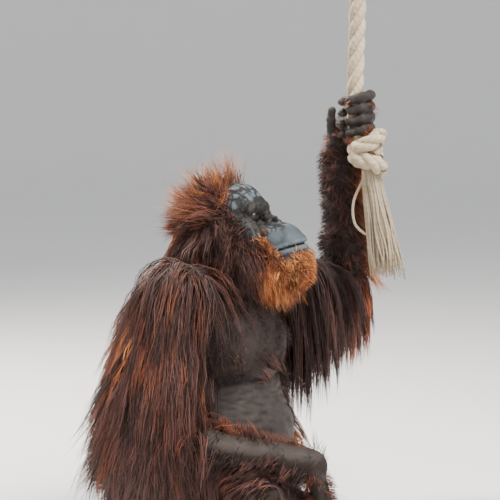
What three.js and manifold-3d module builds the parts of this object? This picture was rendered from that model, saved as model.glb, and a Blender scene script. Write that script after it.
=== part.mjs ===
// A seated adult orangutan, life size, looking up and gripping a knotted rope with its left hand.
// Millimetres, +X the way the body faces, +Y its left, +Z up, origin on the floor under the seat.
import * as THREE from "three";
import { mergeVertices } from "three/addons/utils/BufferGeometryUtils.js";
import Module from "manifold-3d";

const wasm = await Module();
wasm.setup();
const V = (x, y, z) => new THREE.Vector3(x, y, z);

// Driving dimensions
const GAP = 0.35; // between nodes that touch
const ROUND_GAP = 0.7; // where the facets of a twisted or turned form could bridge the gap
const FLOOR = 0; // the level that the seat, knuckles and legs rest on
const WELD = 2e-3; // corners nearer than this are one
const DRAWN_BACK = 0.02;
const CORNER_PARTS = 1e4; // a millimetre is divided into these where corners are compared
const SUNK = 9; // how far a lock's root goes into the node it grows from
const ROPE_R = 18;
const FINGER_R = 11.2;
const FINGER_PITCH = 23.6;
const TOE_PITCH = 17.6;
const EYE_R = 11.5;

// Joints of the pose
const J = {
  pelvis: V(-20, 0, 95),
  belly: V(36, 0, 190),
  ribs: V(5, 0, 350),
  girdle: V(12, 0, 455),
  neck: V(20, 2, 535),
  head: V(52, 8, 628),
  shoulderR: V(40, -160, 500),
  elbowR: V(12, -248, 192),
  wristR: V(294, -66, 146),
  knuckleR: V(316, -52, 50),
  shoulderL: V(72, 158, 488),
  elbowL: V(88, 478, 462),
  wristL: V(140, 340, 750),
  hipR: V(0, -88, 92),
  kneeR: V(238, -172, 84),
  ankleR: V(222, 22, 44),
  hipL: V(0, 88, 92),
  kneeL: V(-4, 322, 84),
  ankleL: V(96, 122, 44),
};
const HEAD_YAW = 10;
const HEAD_PITCH = 25;
const deg = THREE.MathUtils.degToRad;
const headMatrix = new THREE.Matrix4()
  .makeTranslation(J.head)
  .multiply(new THREE.Matrix4().makeRotationZ(deg(HEAD_YAW)))
  .multiply(new THREE.Matrix4().makeRotationY(deg(-HEAD_PITCH)));
const headInverse = headMatrix.clone().invert();
const onHead = (x, y, z) => V(x, y, z).applyMatrix4(headMatrix);

// Distance to an upright ellipsoid, near enough for rounding forms together
function ball(centre, radii) {
  const q = new THREE.Vector3();
  return (p) => {
    q.subVectors(p, centre);
    const k0 = Math.hypot(q.x / radii.x, q.y / radii.y, q.z / radii.z);
    const k1 = Math.hypot(q.x / radii.x ** 2, q.y / radii.y ** 2, q.z / radii.z ** 2);
    return k1 < 1e-9 ? -Math.min(radii.x, radii.y, radii.z) : (k0 * (k0 - 1)) / k1;
  };
}

// Distance to a limb that tapers from one round end to the other
function taper(a, ra, b, rb) {
  const axis = new THREE.Vector3().subVectors(b, a);
  const length2 = axis.lengthSq();
  const q = new THREE.Vector3();
  return (p) => {
    q.subVectors(p, a);
    const t = THREE.MathUtils.clamp(q.dot(axis) / length2, 0, 1);
    return q.addScaledVector(axis, -t).length() - (ra + (rb - ra) * t);
  };
}

// Several forms run together with a fillet of about that size
function blend(fillet, ...forms) {
  return (p) => {
    let d = forms[0](p);
    for (let i = 1; i < forms.length; i++) {
      const e = forms[i](p);
      const h = Math.max(fillet - Math.abs(d - e), 0) / fillet;
      d = Math.min(d, e) - (h * h * fillet) / 4;
    }
    return d;
  };
}

const local = (form, inverse) => {
  const q = new THREE.Vector3();
  return (p) => form(q.copy(p).applyMatrix4(inverse));
};

// How far along a ray from inside a form its surface lies, at a level outside or inside it
function reach(form, from, way, level = 0) {
  const p = new THREE.Vector3();
  const at = (t) => form(p.copy(from).addScaledVector(way, t)) - level;
  let t = 0;
  let d = at(0);
  for (let i = 0; i < 200 && d < 0; i++) {
    t += Math.max(-0.8 * d, 0.6);
    d = at(t);
  }
  let low = Math.max(t - 12, 0);
  let high = t;
  for (let i = 0; i < 18; i++) {
    const mid = (low + high) / 2;
    if (at(mid) < 0) low = mid;
    else high = mid;
  }
  return high;
}

function geometryOf(points, faces) {
  const g = new THREE.BufferGeometry();
  g.setAttribute("position", new THREE.Float32BufferAttribute(points.flatMap((p) => p.toArray()), 3));
  g.setIndex(faces);
  return g;
}

function solid(geometry, matrix, weld = 1e-4) {
  const g = geometry.clone();
  g.deleteAttribute("normal");
  g.deleteAttribute("uv");
  if (matrix) g.applyMatrix4(matrix);
  const merged = mergeVertices(g, weld);
  const triVerts = new Uint32Array(merged.index.array);
  const made = new wasm.Manifold(
    new wasm.Mesh({ numProp: 3, vertProperties: merged.attributes.position.array, triVerts }),
  );
  if (made.volume() > 0) return made;
  for (let i = 0; i < triVerts.length; i += 3) {
    [triVerts[i + 1], triVerts[i + 2]] = [triVerts[i + 2], triVerts[i + 1]];
  }
  return new wasm.Manifold(
    new wasm.Mesh({ numProp: 3, vertProperties: merged.attributes.position.array, triVerts }),
  );
}

const unite = (pieces) => (pieces.length === 1 ? pieces[0] : wasm.Manifold.union(pieces));

// The largest closed surface, so that a sealed hollow is filled and a loose scrap goes
function largest(made) {
  return made.decompose().reduce((a, b) => (b.volume() > a.volume() ? b : a));
}

// Two directions square to a third, the first as near as can be to the one wanted
function squareTo(way, wanted) {
  const side = wanted.clone().addScaledVector(way, -wanted.dot(way)).normalize();
  return [side, new THREE.Vector3().crossVectors(way, side)];
}

// Rings of points closed by a pole at each end
function skinned(first, rings, last) {
  const sides = rings[0].length;
  const points = [first, ...rings.flat(), last];
  const faces = [];
  for (let s = 0; s < sides; s++) {
    const n = (s + 1) % sides;
    faces.push(0, 1 + n, 1 + s);
    for (let r = 0; r + 1 < rings.length; r++) {
      const a = 1 + r * sides;
      const b = a + sides;
      faces.push(a + s, a + n, b + n, a + s, b + n, b + s);
    }
    const end = 1 + (rings.length - 1) * sides;
    faces.push(points.length - 1, end + s, end + n);
  }
  return geometryOf(points, faces);
}

// A closed skin over a form, by rays from an axis that runs inside it
function wrap(form, axis, { sides, rings, cap = 3, front = V(1, 0, 0), level = 0 }) {
  const way = new THREE.Vector3().subVectors(axis[1], axis[0]).normalize();
  const [u, v] = squareTo(way, front);
  const hit = (from, ray) => from.clone().addScaledVector(ray, reach(form, from, ray, level));
  const ring = (from, tilt) =>
    Array.from({ length: sides }, (_, s) => {
      const a = (2 * Math.PI * s) / sides;
      const ray = u.clone().multiplyScalar(Math.cos(a)).addScaledVector(v, Math.sin(a));
      ray.multiplyScalar(Math.cos(tilt)).addScaledVector(way, Math.sin(tilt));
      return hit(from, ray);
    });
  const made = [];
  for (let i = 1; i <= cap; i++) made.push(ring(axis[0], -(1 - i / (cap + 1)) * (Math.PI / 2)));
  for (let i = 0; i <= rings; i++) made.push(ring(axis[0].clone().lerp(axis[1], i / rings), 0));
  for (let i = 1; i <= cap; i++) made.push(ring(axis[1], (i / (cap + 1)) * (Math.PI / 2)));
  return skinned(hit(axis[0], way.clone().negate()), made, hit(axis[1], way));
}

// A tube with round ends along a smooth line, as thick at each place as the radii say
const TUBE = { sides: 7, steps: 6, grow: 0, flat: 1, side: V(0, 0, 1), lobes: 0, turns: 0 };
const LOBE = 0.13; // how high a lobe or a twisted strand stands, of the radius
const ROUND_END = 0.55; // how far an end stands out, of the radius
function tube(points, radii, how) {
  const { sides, steps, grow, flat, side, lobes, turns } = { ...TUBE, ...how };
  const curve = new THREE.CatmullRomCurve3(points, false, "centripetal");
  const radiusAt = (t) => {
    const f = t * (radii.length - 1);
    const i = Math.min(Math.floor(f), radii.length - 2);
    return radii[i] + (radii[i + 1] - radii[i]) * (f - i) + grow;
  };
  const rings = [];
  let u = side.clone();
  for (let i = 0; i <= steps; i++) {
    const t = i / steps;
    const way = curve.getTangent(t);
    let v;
    [u, v] = squareTo(way, u);
    const at = curve.getPoint(t);
    rings.push(
      Array.from({ length: sides }, (_, s) => {
        const a = (2 * Math.PI * s) / sides;
        const r = radiusAt(t) * (1 + (lobes ? LOBE * Math.cos(lobes * a) : 0));
        const turned = a + 2 * Math.PI * turns * t;
        return at
          .clone()
          .addScaledVector(u, r * Math.cos(turned))
          .addScaledVector(v, r * flat * Math.sin(turned));
      }),
    );
  }
  const end = (t, sign) =>
    curve.getPoint(t).addScaledVector(curve.getTangent(t), sign * ROUND_END * radiusAt(t));
  return skinned(end(0, -1), rings, end(1, 1));
}

// The forms of the flesh
const torsoForm = blend(
  60,
  ball(J.pelvis, V(122, 142, 100)),
  ball(V(-48, -62, 72), V(96, 82, 78)),
  ball(V(-48, 62, 72), V(96, 82, 78)),
  ball(J.belly, V(156, 158, 128)),
  ball(V(-30, 0, 260), V(128, 158, 150)),
  ball(J.ribs, V(146, 160, 150)),
  ball(J.girdle, V(112, 158, 84)),
);
const pouchForm = blend(
  30,
  ball(V(86, 0, 405), V(76, 98, 100)),
  ball(V(78, -72, 352), V(82, 76, 86)),
  ball(V(86, 62, 368), V(80, 76, 78)),
);
const neckForm = blend(
  30,
  taper(V(8, 0, 500), 84, J.neck, 74),
  taper(J.neck, 74, J.head.clone().add(V(-12, 0, -12)), 60),
  taper(V(52, 4, 520), 56, onHead(34, 0, -100), 42),
);
const skullForm = blend(
  16,
  ball(V(-8, 0, 2), V(80, 68, 70)),
  ball(V(34, 0, 12), V(50, 52, 48)),
  ball(V(70, -26, 0), V(17, 27, 13)),
  ball(V(70, 26, 0), V(17, 27, 13)),
  ball(V(76, 0, -4), V(13, 20, 15)),
  ball(V(44, -46, -42), V(30, 24, 34)),
  ball(V(44, 46, -42), V(30, 24, 34)),
  ball(V(52, 0, -70), V(48, 50, 46)),
  ball(V(86, 0, -90), V(46, 47, 34)),
  ball(V(70, 0, -128), V(58, 43, 34)),
  ball(V(92, 0, -148), V(32, 34, 30)),
  taper(V(8, -46, -60), 28, V(62, -28, -132), 26),
  taper(V(8, 46, -60), 28, V(62, 28, -132), 26),
  taper(V(84, 0, -28), 8, V(97, 0, -52), 13),
);
const lipForm = blend(
  6,
  ball(V(104, 0, -98), V(29, 40, 10)),
  ball(V(102, 0, -116), V(30, 38, 11)),
);
const headForm = local(blend(9, skullForm, lipForm), headInverse);

function armForm(shoulder, elbow, bulge) {
  const at = (t) => shoulder.clone().lerp(elbow, t);
  return blend(24, taper(shoulder, 56, at(0.45), 52), taper(at(0.35), 52 + bulge, elbow, 45));
}
function foreForm(elbow, wrist, bulk) {
  const at = (t) => elbow.clone().lerp(wrist, t);
  return blend(
    24,
    taper(elbow, 37, at(0.3), bulk),
    taper(at(0.3), bulk, at(0.95), 30),
    taper(at(0.7), 33, wrist, 30),
  );
}
function thighForm(hip, knee) {
  const at = (t) => hip.clone().lerp(knee, t);
  return blend(24, taper(hip, 72, at(0.5), 62), taper(at(0.4), 62, knee, 46));
}
function shinForm(knee, ankle) {
  const at = (t) => knee.clone().lerp(ankle, t);
  return blend(20, taper(knee, 38, at(0.35), 43), taper(at(0.3), 42, ankle, 29));
}
const forms = {
  torso: torsoForm,
  throat_pouch: pouchForm,
  neck: neckForm,
  head: headForm,
  upper_arm_r: armForm(J.shoulderR, J.elbowR, 2),
  forearm_r: foreForm(J.elbowR, J.wristR, 48),
  upper_arm_l: armForm(J.shoulderL, J.elbowL, 2),
  forearm_l: foreForm(J.elbowL, J.wristL, 44),
  thigh_r: thighForm(J.hipR, J.kneeR),
  shin_r: shinForm(J.kneeR, J.ankleR),
  thigh_l: thighForm(J.hipL, J.kneeL),
  shin_l: shinForm(J.kneeL, J.ankleL),
};
const axes = {
  torso: [V(-12, 0, 95), V(8, 0, 470)],
  throat_pouch: [V(84, -30, 360), V(88, 20, 380)],
  neck: [V(24, 2, 540), V(48, 6, 590)],
  head: [onHead(20, 0, -20), onHead(45, 0, -70)],
  upper_arm_r: [J.shoulderR, J.elbowR],
  forearm_r: [J.elbowR, J.wristR],
  upper_arm_l: [J.shoulderL, J.elbowL],
  forearm_l: [J.elbowL, J.wristL],
  thigh_r: [J.hipR, J.kneeR],
  shin_r: [J.kneeR, J.ankleR],
  thigh_l: [J.hipL, J.kneeL],
  shin_l: [J.kneeL, J.ankleL],
};
const mesh = {
  torso: { sides: 22, rings: 9, cap: 3 },
  throat_pouch: { sides: 18, rings: 1, cap: 4 },
  neck: { sides: 12, rings: 1, cap: 2 },
  head: { sides: 28, rings: 5, cap: 6, front: onHead(1, 0, 0).sub(onHead(0, 0, 0)) },
  limb: { sides: 12, rings: 5, cap: 2 },
};
const grown = {};
const cores = {};
for (const name of Object.keys(forms)) {
  const how = mesh[name] ?? mesh.limb;
  cores[name] = solid(wrap(forms[name], axes[name], how));
  grown[name] = solid(wrap(forms[name], axes[name], { ...how, level: GAP }));
}

// Everything below the floor, which leaves small flats at one level where the body rests
const GROUND = V(1600, 1600, 400); // a block that holds all that could reach under the floor
const underFloor = new THREE.Matrix4().makeTranslation(0, 0, FLOOR - GROUND.z / 2);
const below = solid(new THREE.BoxGeometry(...GROUND.toArray()), underFloor);

// The waist parts the torso into chest and abdomen
function half(level, above) {
  const move = ((above ? 1 : -1) * GROUND.z) / 2;
  const box = new THREE.BoxGeometry(...GROUND.toArray());
  return solid(box, new THREE.Matrix4().makeTranslation(0, 0, level + move));
}
const WAIST = 292;
const whole = {}; // each node as it is before its neighbours cut it
const nodes = {};
const keepOut = {}; // each finished node a gap larger, which later nodes are cut by

function finish(name, made, larger = made) {
  whole[name] = made;
  nodes[name] = largest(made.subtract(unite([below, ...Object.values(keepOut)])));
  keepOut[name] = larger;
}

const trunk = (made, level, above) => made.intersect(half(level, above));
finish("abdomen", trunk(cores.torso, WAIST - GAP / 2, false), trunk(grown.torso, WAIST, false));
finish("chest", trunk(cores.torso, WAIST + GAP / 2, true), trunk(grown.torso, WAIST, true));
finish("throat_pouch", cores.throat_pouch, grown.throat_pouch);

// The head, with its mouth, nostrils and lids cut and added in its own frame
function egg(radii, at, turn = 0, facets = [10, 7]) {
  const g = new THREE.SphereGeometry(1, ...facets);
  g.scale(radii.x, radii.y, radii.z);
  g.rotateY(turn);
  g.translate(at.x, at.y, at.z);
  return solid(g, headMatrix);
}
const MOUTH = V(74, 0, -109);
const MOUTH_RISE = 7; // degrees that the line of the mouth climbs to its front
const MOUTH_SPREAD = 104; // degrees that it runs round to each side
const eyeAt = (side) => V(64, side * 31, -12);
function mouthLine() {
  const from = onHead(MOUTH.x, MOUTH.y, MOUTH.z);
  const line = [];
  for (let a = -MOUTH_SPREAD; a <= MOUTH_SPREAD; a += MOUTH_SPREAD / 6) {
    const ray = V(Math.cos(deg(a)), Math.sin(deg(a)), Math.tan(deg(MOUTH_RISE)) * Math.cos(deg(a)));
    const way = onHead(ray.x, ray.y, ray.z).sub(onHead(0, 0, 0)).normalize();
    line.push(from.clone().addScaledVector(way, reach(headForm, from, way)));
  }
  return solid(tube(line, [1, 3.2, 3.2, 3.2, 1], { sides: 4, steps: 13 }));
}
function headSolid() {
  const lids = [-1, 1].map((side) => egg(V(EYE_R + 3.2, EYE_R + 4, EYE_R + 3), eyeAt(side)));
  const eyes = [-1, 1].map((side) => egg(V(EYE_R, EYE_R, EYE_R).addScalar(GAP), eyeAt(side)));
  const slits = [-1, 1].map((side) =>
    egg(V(9, 11.5, 4.6), eyeAt(side).add(V(EYE_R + 1.5, side * 1.5, 0)), deg(12)),
  );
  const nostrils = [-1, 1].map((side) => egg(V(8, 4.4, 5), V(99, side * 8, -46), deg(30)));
  return largest(
    unite([cores.head, ...lids]).subtract(unite([mouthLine(), ...eyes, ...slits, ...nostrils])),
  );
}
finish("head", headSolid(), grown.head);
finish("neck", cores.neck, grown.neck);
for (const [name, side] of [["r", -1], ["l", 1]]) {
  const eye = egg(V(EYE_R, EYE_R, EYE_R), eyeAt(side));
  finish("eye_" + name, eye, eye);
}
for (const [name, side] of [["r", -1], ["l", 1]]) {
  const at = V(-4, side * 66, -14);
  const turn = deg(-14);
  const hollow = egg(V(6.5, 9, 14), at.clone().add(V(3, side * 7, 0)), turn, [8, 5]);
  const cup = egg(V(9, 13, 20), at, turn, [9, 6]).subtract(hollow);
  finish("ear_" + name, cup, cup);
}

finish("upper_arm_r", cores.upper_arm_r, grown.upper_arm_r);
finish("upper_arm_l", cores.upper_arm_l, grown.upper_arm_l);
finish("thigh_r", cores.thigh_r, grown.thigh_r);
finish("thigh_l", cores.thigh_l, grown.thigh_l);
finish("forearm_r", cores.forearm_r, grown.forearm_r);
finish("forearm_l", cores.forearm_l, grown.forearm_l);
finish("shin_r", cores.shin_r, grown.shin_r);
finish("shin_l", cores.shin_l, grown.shin_l);

// The rope, cut short above the hand, with its knot and unlaid end below
const rope = {
  top: V(189, 328, 1128),
  grip: V(184, 326, 862),
  low: V(196, 320, 797),
  knot: V(222, 312, 768),
  end: V(262, 336, 505),
};
const ropeLine = [rope.top, rope.grip.clone().lerp(rope.top, 0.5), rope.grip, rope.low];
const ropeHow = { sides: 9, steps: 20, lobes: 3, turns: 3 };
const ropeTube = (grow) => solid(tube(ropeLine, [ROPE_R, ROPE_R], { ...ropeHow, grow }));
finish("rope", ropeTube(0), ropeTube(ROUND_GAP));

// A hand or foot: a flat palm and its digits, each along its own line
function digit(name, line, radii, how = {}) {
  const steps = { sides: 5, steps: 4, ...how };
  finish(name, solid(tube(line, radii, steps)), solid(tube(line, radii, { ...steps, grow: ROUND_GAP })));
}
function palm(name, line, width, thick, side) {
  const radii = [0.8 * width, width, 0.94 * width];
  const how = { sides: 10, steps: 4, flat: thick / width, side };
  finish(name, solid(tube(line, radii, how)), solid(tube(line, radii, { ...how, grow: ROUND_GAP })));
}
const across = V(-0.5, 0.866, 0); // away from the viewer of the pose
const rightward = V(0.866, 0.5, 0);
const place = (from, f, a, z) =>
  from.clone().addScaledVector(rightward, f).addScaledVector(across, a).add(V(0, 0, z));

// Left hand: the palm lies behind the rope, and the fingers come round it from the far side
const grip = rope.grip;
palm(
  "hand_l",
  [J.wristL.clone().lerp(place(grip, -20, 34, -52), 0.12), place(grip, -26, 34, -58), place(grip, 0, 40, -8)],
  40, 17, V(0.5, 0.2, 0.85),
);
const FINGERS = ["index", "middle", "ring", "little"];
FINGERS.forEach((finger, i) => {
  const z = 22 - FINGER_PITCH * i;
  const ring = ROPE_R + FINGER_R + 3.5;
  const round = (angle, far, rise) =>
    place(grip, far * ring * Math.cos(deg(angle)), far * ring * Math.sin(deg(angle)), z + rise);
  const line = [
    round(95, 1.25, -4),
    round(45, 1.12, 2),
    round(0, 1, 5),
    round(-50, 1, 3),
    round(-100, 1, -3),
    round(-150, 1.02, -9),
  ];
  const radii = [FINGER_R, FINGER_R, FINGER_R, FINGER_R - 3];
  digit("finger_l_" + finger, line, radii, { sides: 6, steps: 7 });
});
digit(
  "thumb_l",
  [place(grip, -42, 18, -70), place(grip, -52, 6, -38), place(grip, -50, 0, -6)],
  [13, 10, 8],
);

// Right hand: it hangs from the wrist to rest on its bent fingers
palm(
  "hand_r",
  [
    J.wristR.clone().lerp(J.knuckleR, 0.12),
    J.wristR.clone().lerp(J.knuckleR, 0.5),
    J.knuckleR.clone().add(V(0, 0, 6)),
  ],
  37, 20, across,
);
FINGERS.forEach((finger, i) => {
  const a = 31 - 20.4 * i;
  const bends = [[2, 2], [8, -24], [-12, -42], [-40, -41], [-52, -26]];
  const line = bends.map(([f, z]) => place(J.knuckleR, f, a, z));
  digit("finger_r_" + finger, line, [9.7, 9.7, 9.2, 8], { sides: 6, steps: 5 });
});
digit(
  "thumb_r",
  [place(J.knuckleR, -12, 34, 44), place(J.knuckleR, -26, 40, 22), place(J.knuckleR, -32, 38, 0)],
  [12, 9, 7],
);

// Feet: hand-like, lying on their outer edges in front of the seat
function foot(side, heel, toeWay, inner) {
  const at = (f, a, z) => heel.clone().addScaledVector(toeWay, f).addScaledVector(inner, a).add(V(0, 0, z));
  palm("foot_" + side, [at(-22, 0, -4), at(30, 0, -4), at(86, 2, -8)], 33, 25, inner);
  ["second", "third", "fourth", "fifth"].forEach((toe, i) => {
    const a = (1.5 - i) * TOE_PITCH;
    const line = [at(88, a, -8), at(114, a, -3), at(136, a, -12), at(146, a, -24)];
    digit(`toe_${side}_${toe}`, line, [8.2, 8.2, 8, 6.5]);
  });
  digit(`toe_${side}_big`, [at(18, 26, 2), at(42, 48, 0), at(62, 52, -8)], [13, 11, 9]);
}
foot("r", V(214, 42, 28), V(-0.5, 0.866, 0), V(-0.866, -0.5, 0));
foot("l", V(98, 96, 28), V(0.36, -0.93, 0), V(0.93, 0.36, 0));

// The knot: two fat turns laid over a ball at the end of the rope
function knot(grow) {
  const turn = (tilt, roll, at, radius) => {
    const g = new THREE.TorusGeometry(radius, ROPE_R - 1 + grow, 6, 10);
    g.rotateX(Math.PI / 2 + tilt);
    g.rotateY(roll);
    g.translate(...rope.knot.clone().add(at).toArray());
    return solid(g);
  };
  return unite([
    turn(deg(16), deg(-24), V(0, 0, 19), 26),
    turn(deg(-20), deg(18), V(2, 0, -19), 26),
    solid(new THREE.SphereGeometry(30 + grow, 8, 5).translate(...rope.knot.toArray())),
  ]);
}
finish("rope_knot", knot(0), knot(ROUND_GAP));
const tasselLine = [rope.knot.clone().add(V(6, 4, -34)), rope.knot.clone().lerp(rope.end, 0.45), rope.end];
finish(
  "rope_tassel",
  solid(tube(tasselLine, [16, 27, 35], { sides: 18, steps: 5, lobes: 9 })),
  solid(tube(tasselLine, [16, 27, 35], { sides: 18, steps: 5, lobes: 9, grow: ROUND_GAP })),
);

// The long coat: flat locks that leave the skin along their lie and then hang, clear of every form
let seed = 20;
function random(low, high) {
  seed = (seed * 16807) % 2147483647;
  return low + ((high - low) * seed) / 2147483647;
}
const allForms = Object.values(forms);
const clearOf = (p) => Math.min(...allForms.map((form) => form(p)));
function outward(form, p) {
  const e = 1.5;
  const slope = (v) => form(p.clone().add(v)) - form(p.clone().sub(v));
  return V(slope(V(e, 0, 0)), slope(V(0, e, 0)), slope(V(0, 0, e))).normalize();
}
const DOWN = V(0, 0, -1);
const LOWEST = 7; // how near the floor a lock's line may come

// The line of a lock and the outward way at each of its points
function drape(form, root, comb, { length, sag, lift, steps }) {
  const n = outward(form, root);
  const way = comb.clone().addScaledVector(n, 0.25 - comb.dot(n)).normalize();
  const p = root.clone();
  const line = [root.clone().addScaledVector(n, -SUNK)];
  const outs = [n];
  for (let i = 1; i <= steps; i++) {
    way.addScaledVector(DOWN, sag).normalize();
    p.addScaledVector(way, length / steps);
    for (let k = 0; k < 3; k++) {
      const short = 4 + (lift * i) / steps - clearOf(p);
      if (short > 0) p.addScaledVector(outward(clearOf, p), short);
    }
    p.z = Math.max(p.z, LOWEST);
    way.subVectors(p, line[line.length - 1]).normalize();
    line.push(p.clone());
    outs.push(outward(clearOf, p));
  }
  return [line, outs];
}
const LOCK_SHAPE = [0.75, 1, 0.95, 0.75, 0.42]; // half widths from root to near the tip
const LOCK_THICK = 0.24; // of its width
const ROOT_POINT = 3; // that the root end stands back from its first ring
function lock([line, outs], width, grow) {
  const rings = line.slice(0, -1).map((c, i) => {
    const way = line[i + 1].clone().sub(line[Math.max(i - 1, 0)]).normalize();
    const [n, side] = squareTo(way, outs[i]);
    const half = width * LOCK_SHAPE[Math.min(i, LOCK_SHAPE.length - 1)] * 0.5;
    const corner = (sign) =>
      c.clone().addScaledVector(side, sign * (half + 4 * grow)).addScaledVector(n, -grow);
    return [corner(1), c.clone().addScaledVector(n, 2 * half * LOCK_THICK + 2 * grow), corner(-1)];
  });
  const past = (from, to, by) => to.clone().addScaledVector(to.clone().sub(from).normalize(), by);
  const root = past(line[1], line[0], ROOT_POINT + 3 * grow);
  return solid(skinned(root, rings, past(line[line.length - 2], line[line.length - 1], 3 * grow)));
}

// Rows of roots on a node, from places along its axis and turns about it
function coat(name, rows) {
  const form = forms[rows.form ?? name];
  const [a, b] = rows.axis ?? axes[name];
  const bone = new THREE.Vector3().subVectors(b, a).normalize();
  const [u, v] = squareTo(bone, rows.front ?? V(1, 0, 0));
  const made = [];
  rows.rows.forEach(({ at, from, to, count, ...how }, row) => {
    for (let i = 0; i < count; i++) {
      const turn = from + ((to - from) * (i + 0.5 + random(-0.25, 0.25) + (row % 2 ? 0.2 : -0.2))) / count;
      const start = a.clone().lerp(b, at + random(-0.02, 0.02));
      const ray = u.clone().multiplyScalar(Math.cos(deg(turn))).addScaledVector(v, Math.sin(deg(turn)));
      const root = start.clone().addScaledVector(ray, reach(form, start, ray));
      if (clearOf(root.clone().addScaledVector(outward(form, root), 4)) < 0) continue;
      const shape = { sag: 0.5, lift: 22, steps: 5, width: 42, ...rows.how, ...how };
      const length = shape.length * random(0.85, 1.12);
      const line = drape(form, root, shape.comb.clone().normalize(), { ...shape, length });
      const width = shape.width * random(0.85, 1.1);
      const [fine, large] = [0, GAP].map((grow) => lock(line, width, grow));
      made.push([fine, large]);
    }
  });
  return made;
}

// Earlier nodes cut flesh and locks alike, and later ones, already cut by the flesh, only the locks
function dress(name, rows) {
  const made = coat(name, rows);
  const order = Object.keys(keepOut);
  const rank = order.indexOf(name);
  const earlier = unite([below, ...order.slice(0, rank).map((other) => keepOut[other])]);
  const later = unite(order.slice(rank + 1).map((other) => keepOut[other]));
  const locks = unite(made.map(([fine]) => fine)).subtract(later);
  whole[name] = unite([whole[name], locks]);
  nodes[name] = largest(whole[name].subtract(earlier));
  keepOut[name] = unite([keepOut[name], ...made.map(([, large]) => large)]);
}

// Rows of the coat, thick over the shoulders, back and arms and short on the head
dress("upper_arm_r", {
  front: V(0, -1, 0),
  how: { comb: V(-0.4, -0.45, -0.85), length: 275, width: 68, lift: 76 },
  rows: [
    { at: -0.1, from: -80, to: 140, count: 5, comb: V(-0.45, -0.5, -0.55), lift: 66 },
    { at: 0.24, from: -70, to: 130, count: 5 },
    { at: 0.56, from: -60, to: 130, count: 5, length: 235 },
    { at: 0.86, from: -60, to: 130, count: 4, length: 165 },
  ],
});
const SKIRT = { comb: V(-0.7, 0, -0.7), length: 250, width: 76, lift: 88, sag: 0.4 };
dress("chest", {
  axis: axes.torso,
  form: "torso",
  how: SKIRT,
  rows: [
    { at: 1, from: 95, to: 265, count: 6, length: 210 },
    { at: 0.76, from: 100, to: 260, count: 6 },
    { at: 0.55, from: 100, to: 260, count: 5, length: 230 },
  ],
});
dress("abdomen", {
  axis: axes.torso,
  form: "torso",
  how: { ...SKIRT, length: 200, lift: 82 },
  rows: [
    { at: 0.4, from: 100, to: 260, count: 6 },
    { at: 0.16, from: 100, to: 260, count: 6, length: 120 },
  ],
});
dress("upper_arm_l", {
  front: V(0, 0, -1),
  how: { comb: V(-0.1, 0.1, -1), length: 190, width: 54, lift: 8, sag: 0.9 },
  rows: [
    { at: 0.1, from: 60, to: 200, count: 2, length: 150 },
    { at: 0.36, from: -60, to: 200, count: 4 },
    { at: 0.64, from: -60, to: 200, count: 4 },
    { at: 0.95, from: -60, to: 200, count: 4, length: 150 },
  ],
});
const TO_ELBOW_L = J.elbowL.clone().sub(J.wristL).normalize();
dress("forearm_l", {
  front: V(1, 0, 0),
  how: { comb: TO_ELBOW_L, length: 115, width: 40, lift: 14, sag: 0.12, steps: 4 },
  rows: [
    { at: 0.75, from: 0, to: 360, count: 4, length: 90, width: 34 },
    { at: 0.45, from: 0, to: 360, count: 5 },
    { at: 0.15, from: 0, to: 360, count: 4 },
  ],
});
const TO_ELBOW_R = J.elbowR.clone().sub(J.wristR).normalize();
dress("forearm_r", {
  front: V(0, 0, 1),
  how: { comb: TO_ELBOW_R.clone().add(V(0, 0, -0.2)), length: 115, width: 38, lift: 8, sag: 0.15, steps: 4 },
  rows: [
    { at: 0.8, from: 20, to: 240, count: 3, length: 85, width: 30 },
    { at: 0.5, from: 20, to: 240, count: 4 },
    { at: 0.22, from: 20, to: 240, count: 3 },
  ],
});
for (const [side, sign] of [["r", -1], ["l", 1]]) {
  dress("thigh_" + side, {
    front: V(0, 0, 1),
    how: { comb: V(-0.8, 0.4 * sign, -0.5), length: 120, width: 52, lift: 12, sag: 0.3, steps: 4 },
    rows: [
      { at: 0.45, from: sign > 0 ? -10 : -150, to: sign > 0 ? 150 : 10, count: 3 },
      { at: 0.85, from: sign > 0 ? -10 : -150, to: sign > 0 ? 150 : 10, count: 3 },
    ],
  });
}
const headWay = (x, y, z) => onHead(x, y, z).sub(onHead(0, 0, 0));
dress("head", {
  axis: [onHead(-10, 0, -60), onHead(-10, 0, 10)],
  front: headWay(1, 0, 0),
  how: { comb: headWay(-0.9, 0, 0.35), length: 80, width: 38, lift: 16, sag: 0.2, steps: 3 },
  rows: [
    { at: 1.55, from: 20, to: 340, count: 6, length: 74, lift: 20, sag: 0.05 },
    { at: 1, from: 55, to: 305, count: 7 },
    { at: 0.45, from: 70, to: 290, count: 6, comb: headWay(-0.5, 0, -0.8), length: 95 },
    { at: -0.2, from: 60, to: 100, count: 2, comb: headWay(-0.25, 0, -1), length: 100 },
    { at: -0.2, from: 260, to: 300, count: 2, comb: headWay(-0.25, 0, -1), length: 100 },
  ],
});
dress("head", {
  axis: [onHead(70, 0, -125), onHead(70, 0, -90)],
  front: headWay(1, 0, 0),
  how: { comb: V(0.15, 0, -1), length: 84, width: 34, lift: 3, sag: 0.3, steps: 3 },
  rows: [{ at: -0.2, from: -110, to: 110, count: 5 }],
});
dress("neck", {
  axis: [V(24, 2, 540), V(48, 6, 590)],
  how: { comb: V(-0.8, 0, -0.5), length: 150, width: 58, lift: 60, sag: 0.22, steps: 4 },
  rows: [{ at: 0.2, from: 90, to: 270, count: 5 }],
});

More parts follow.
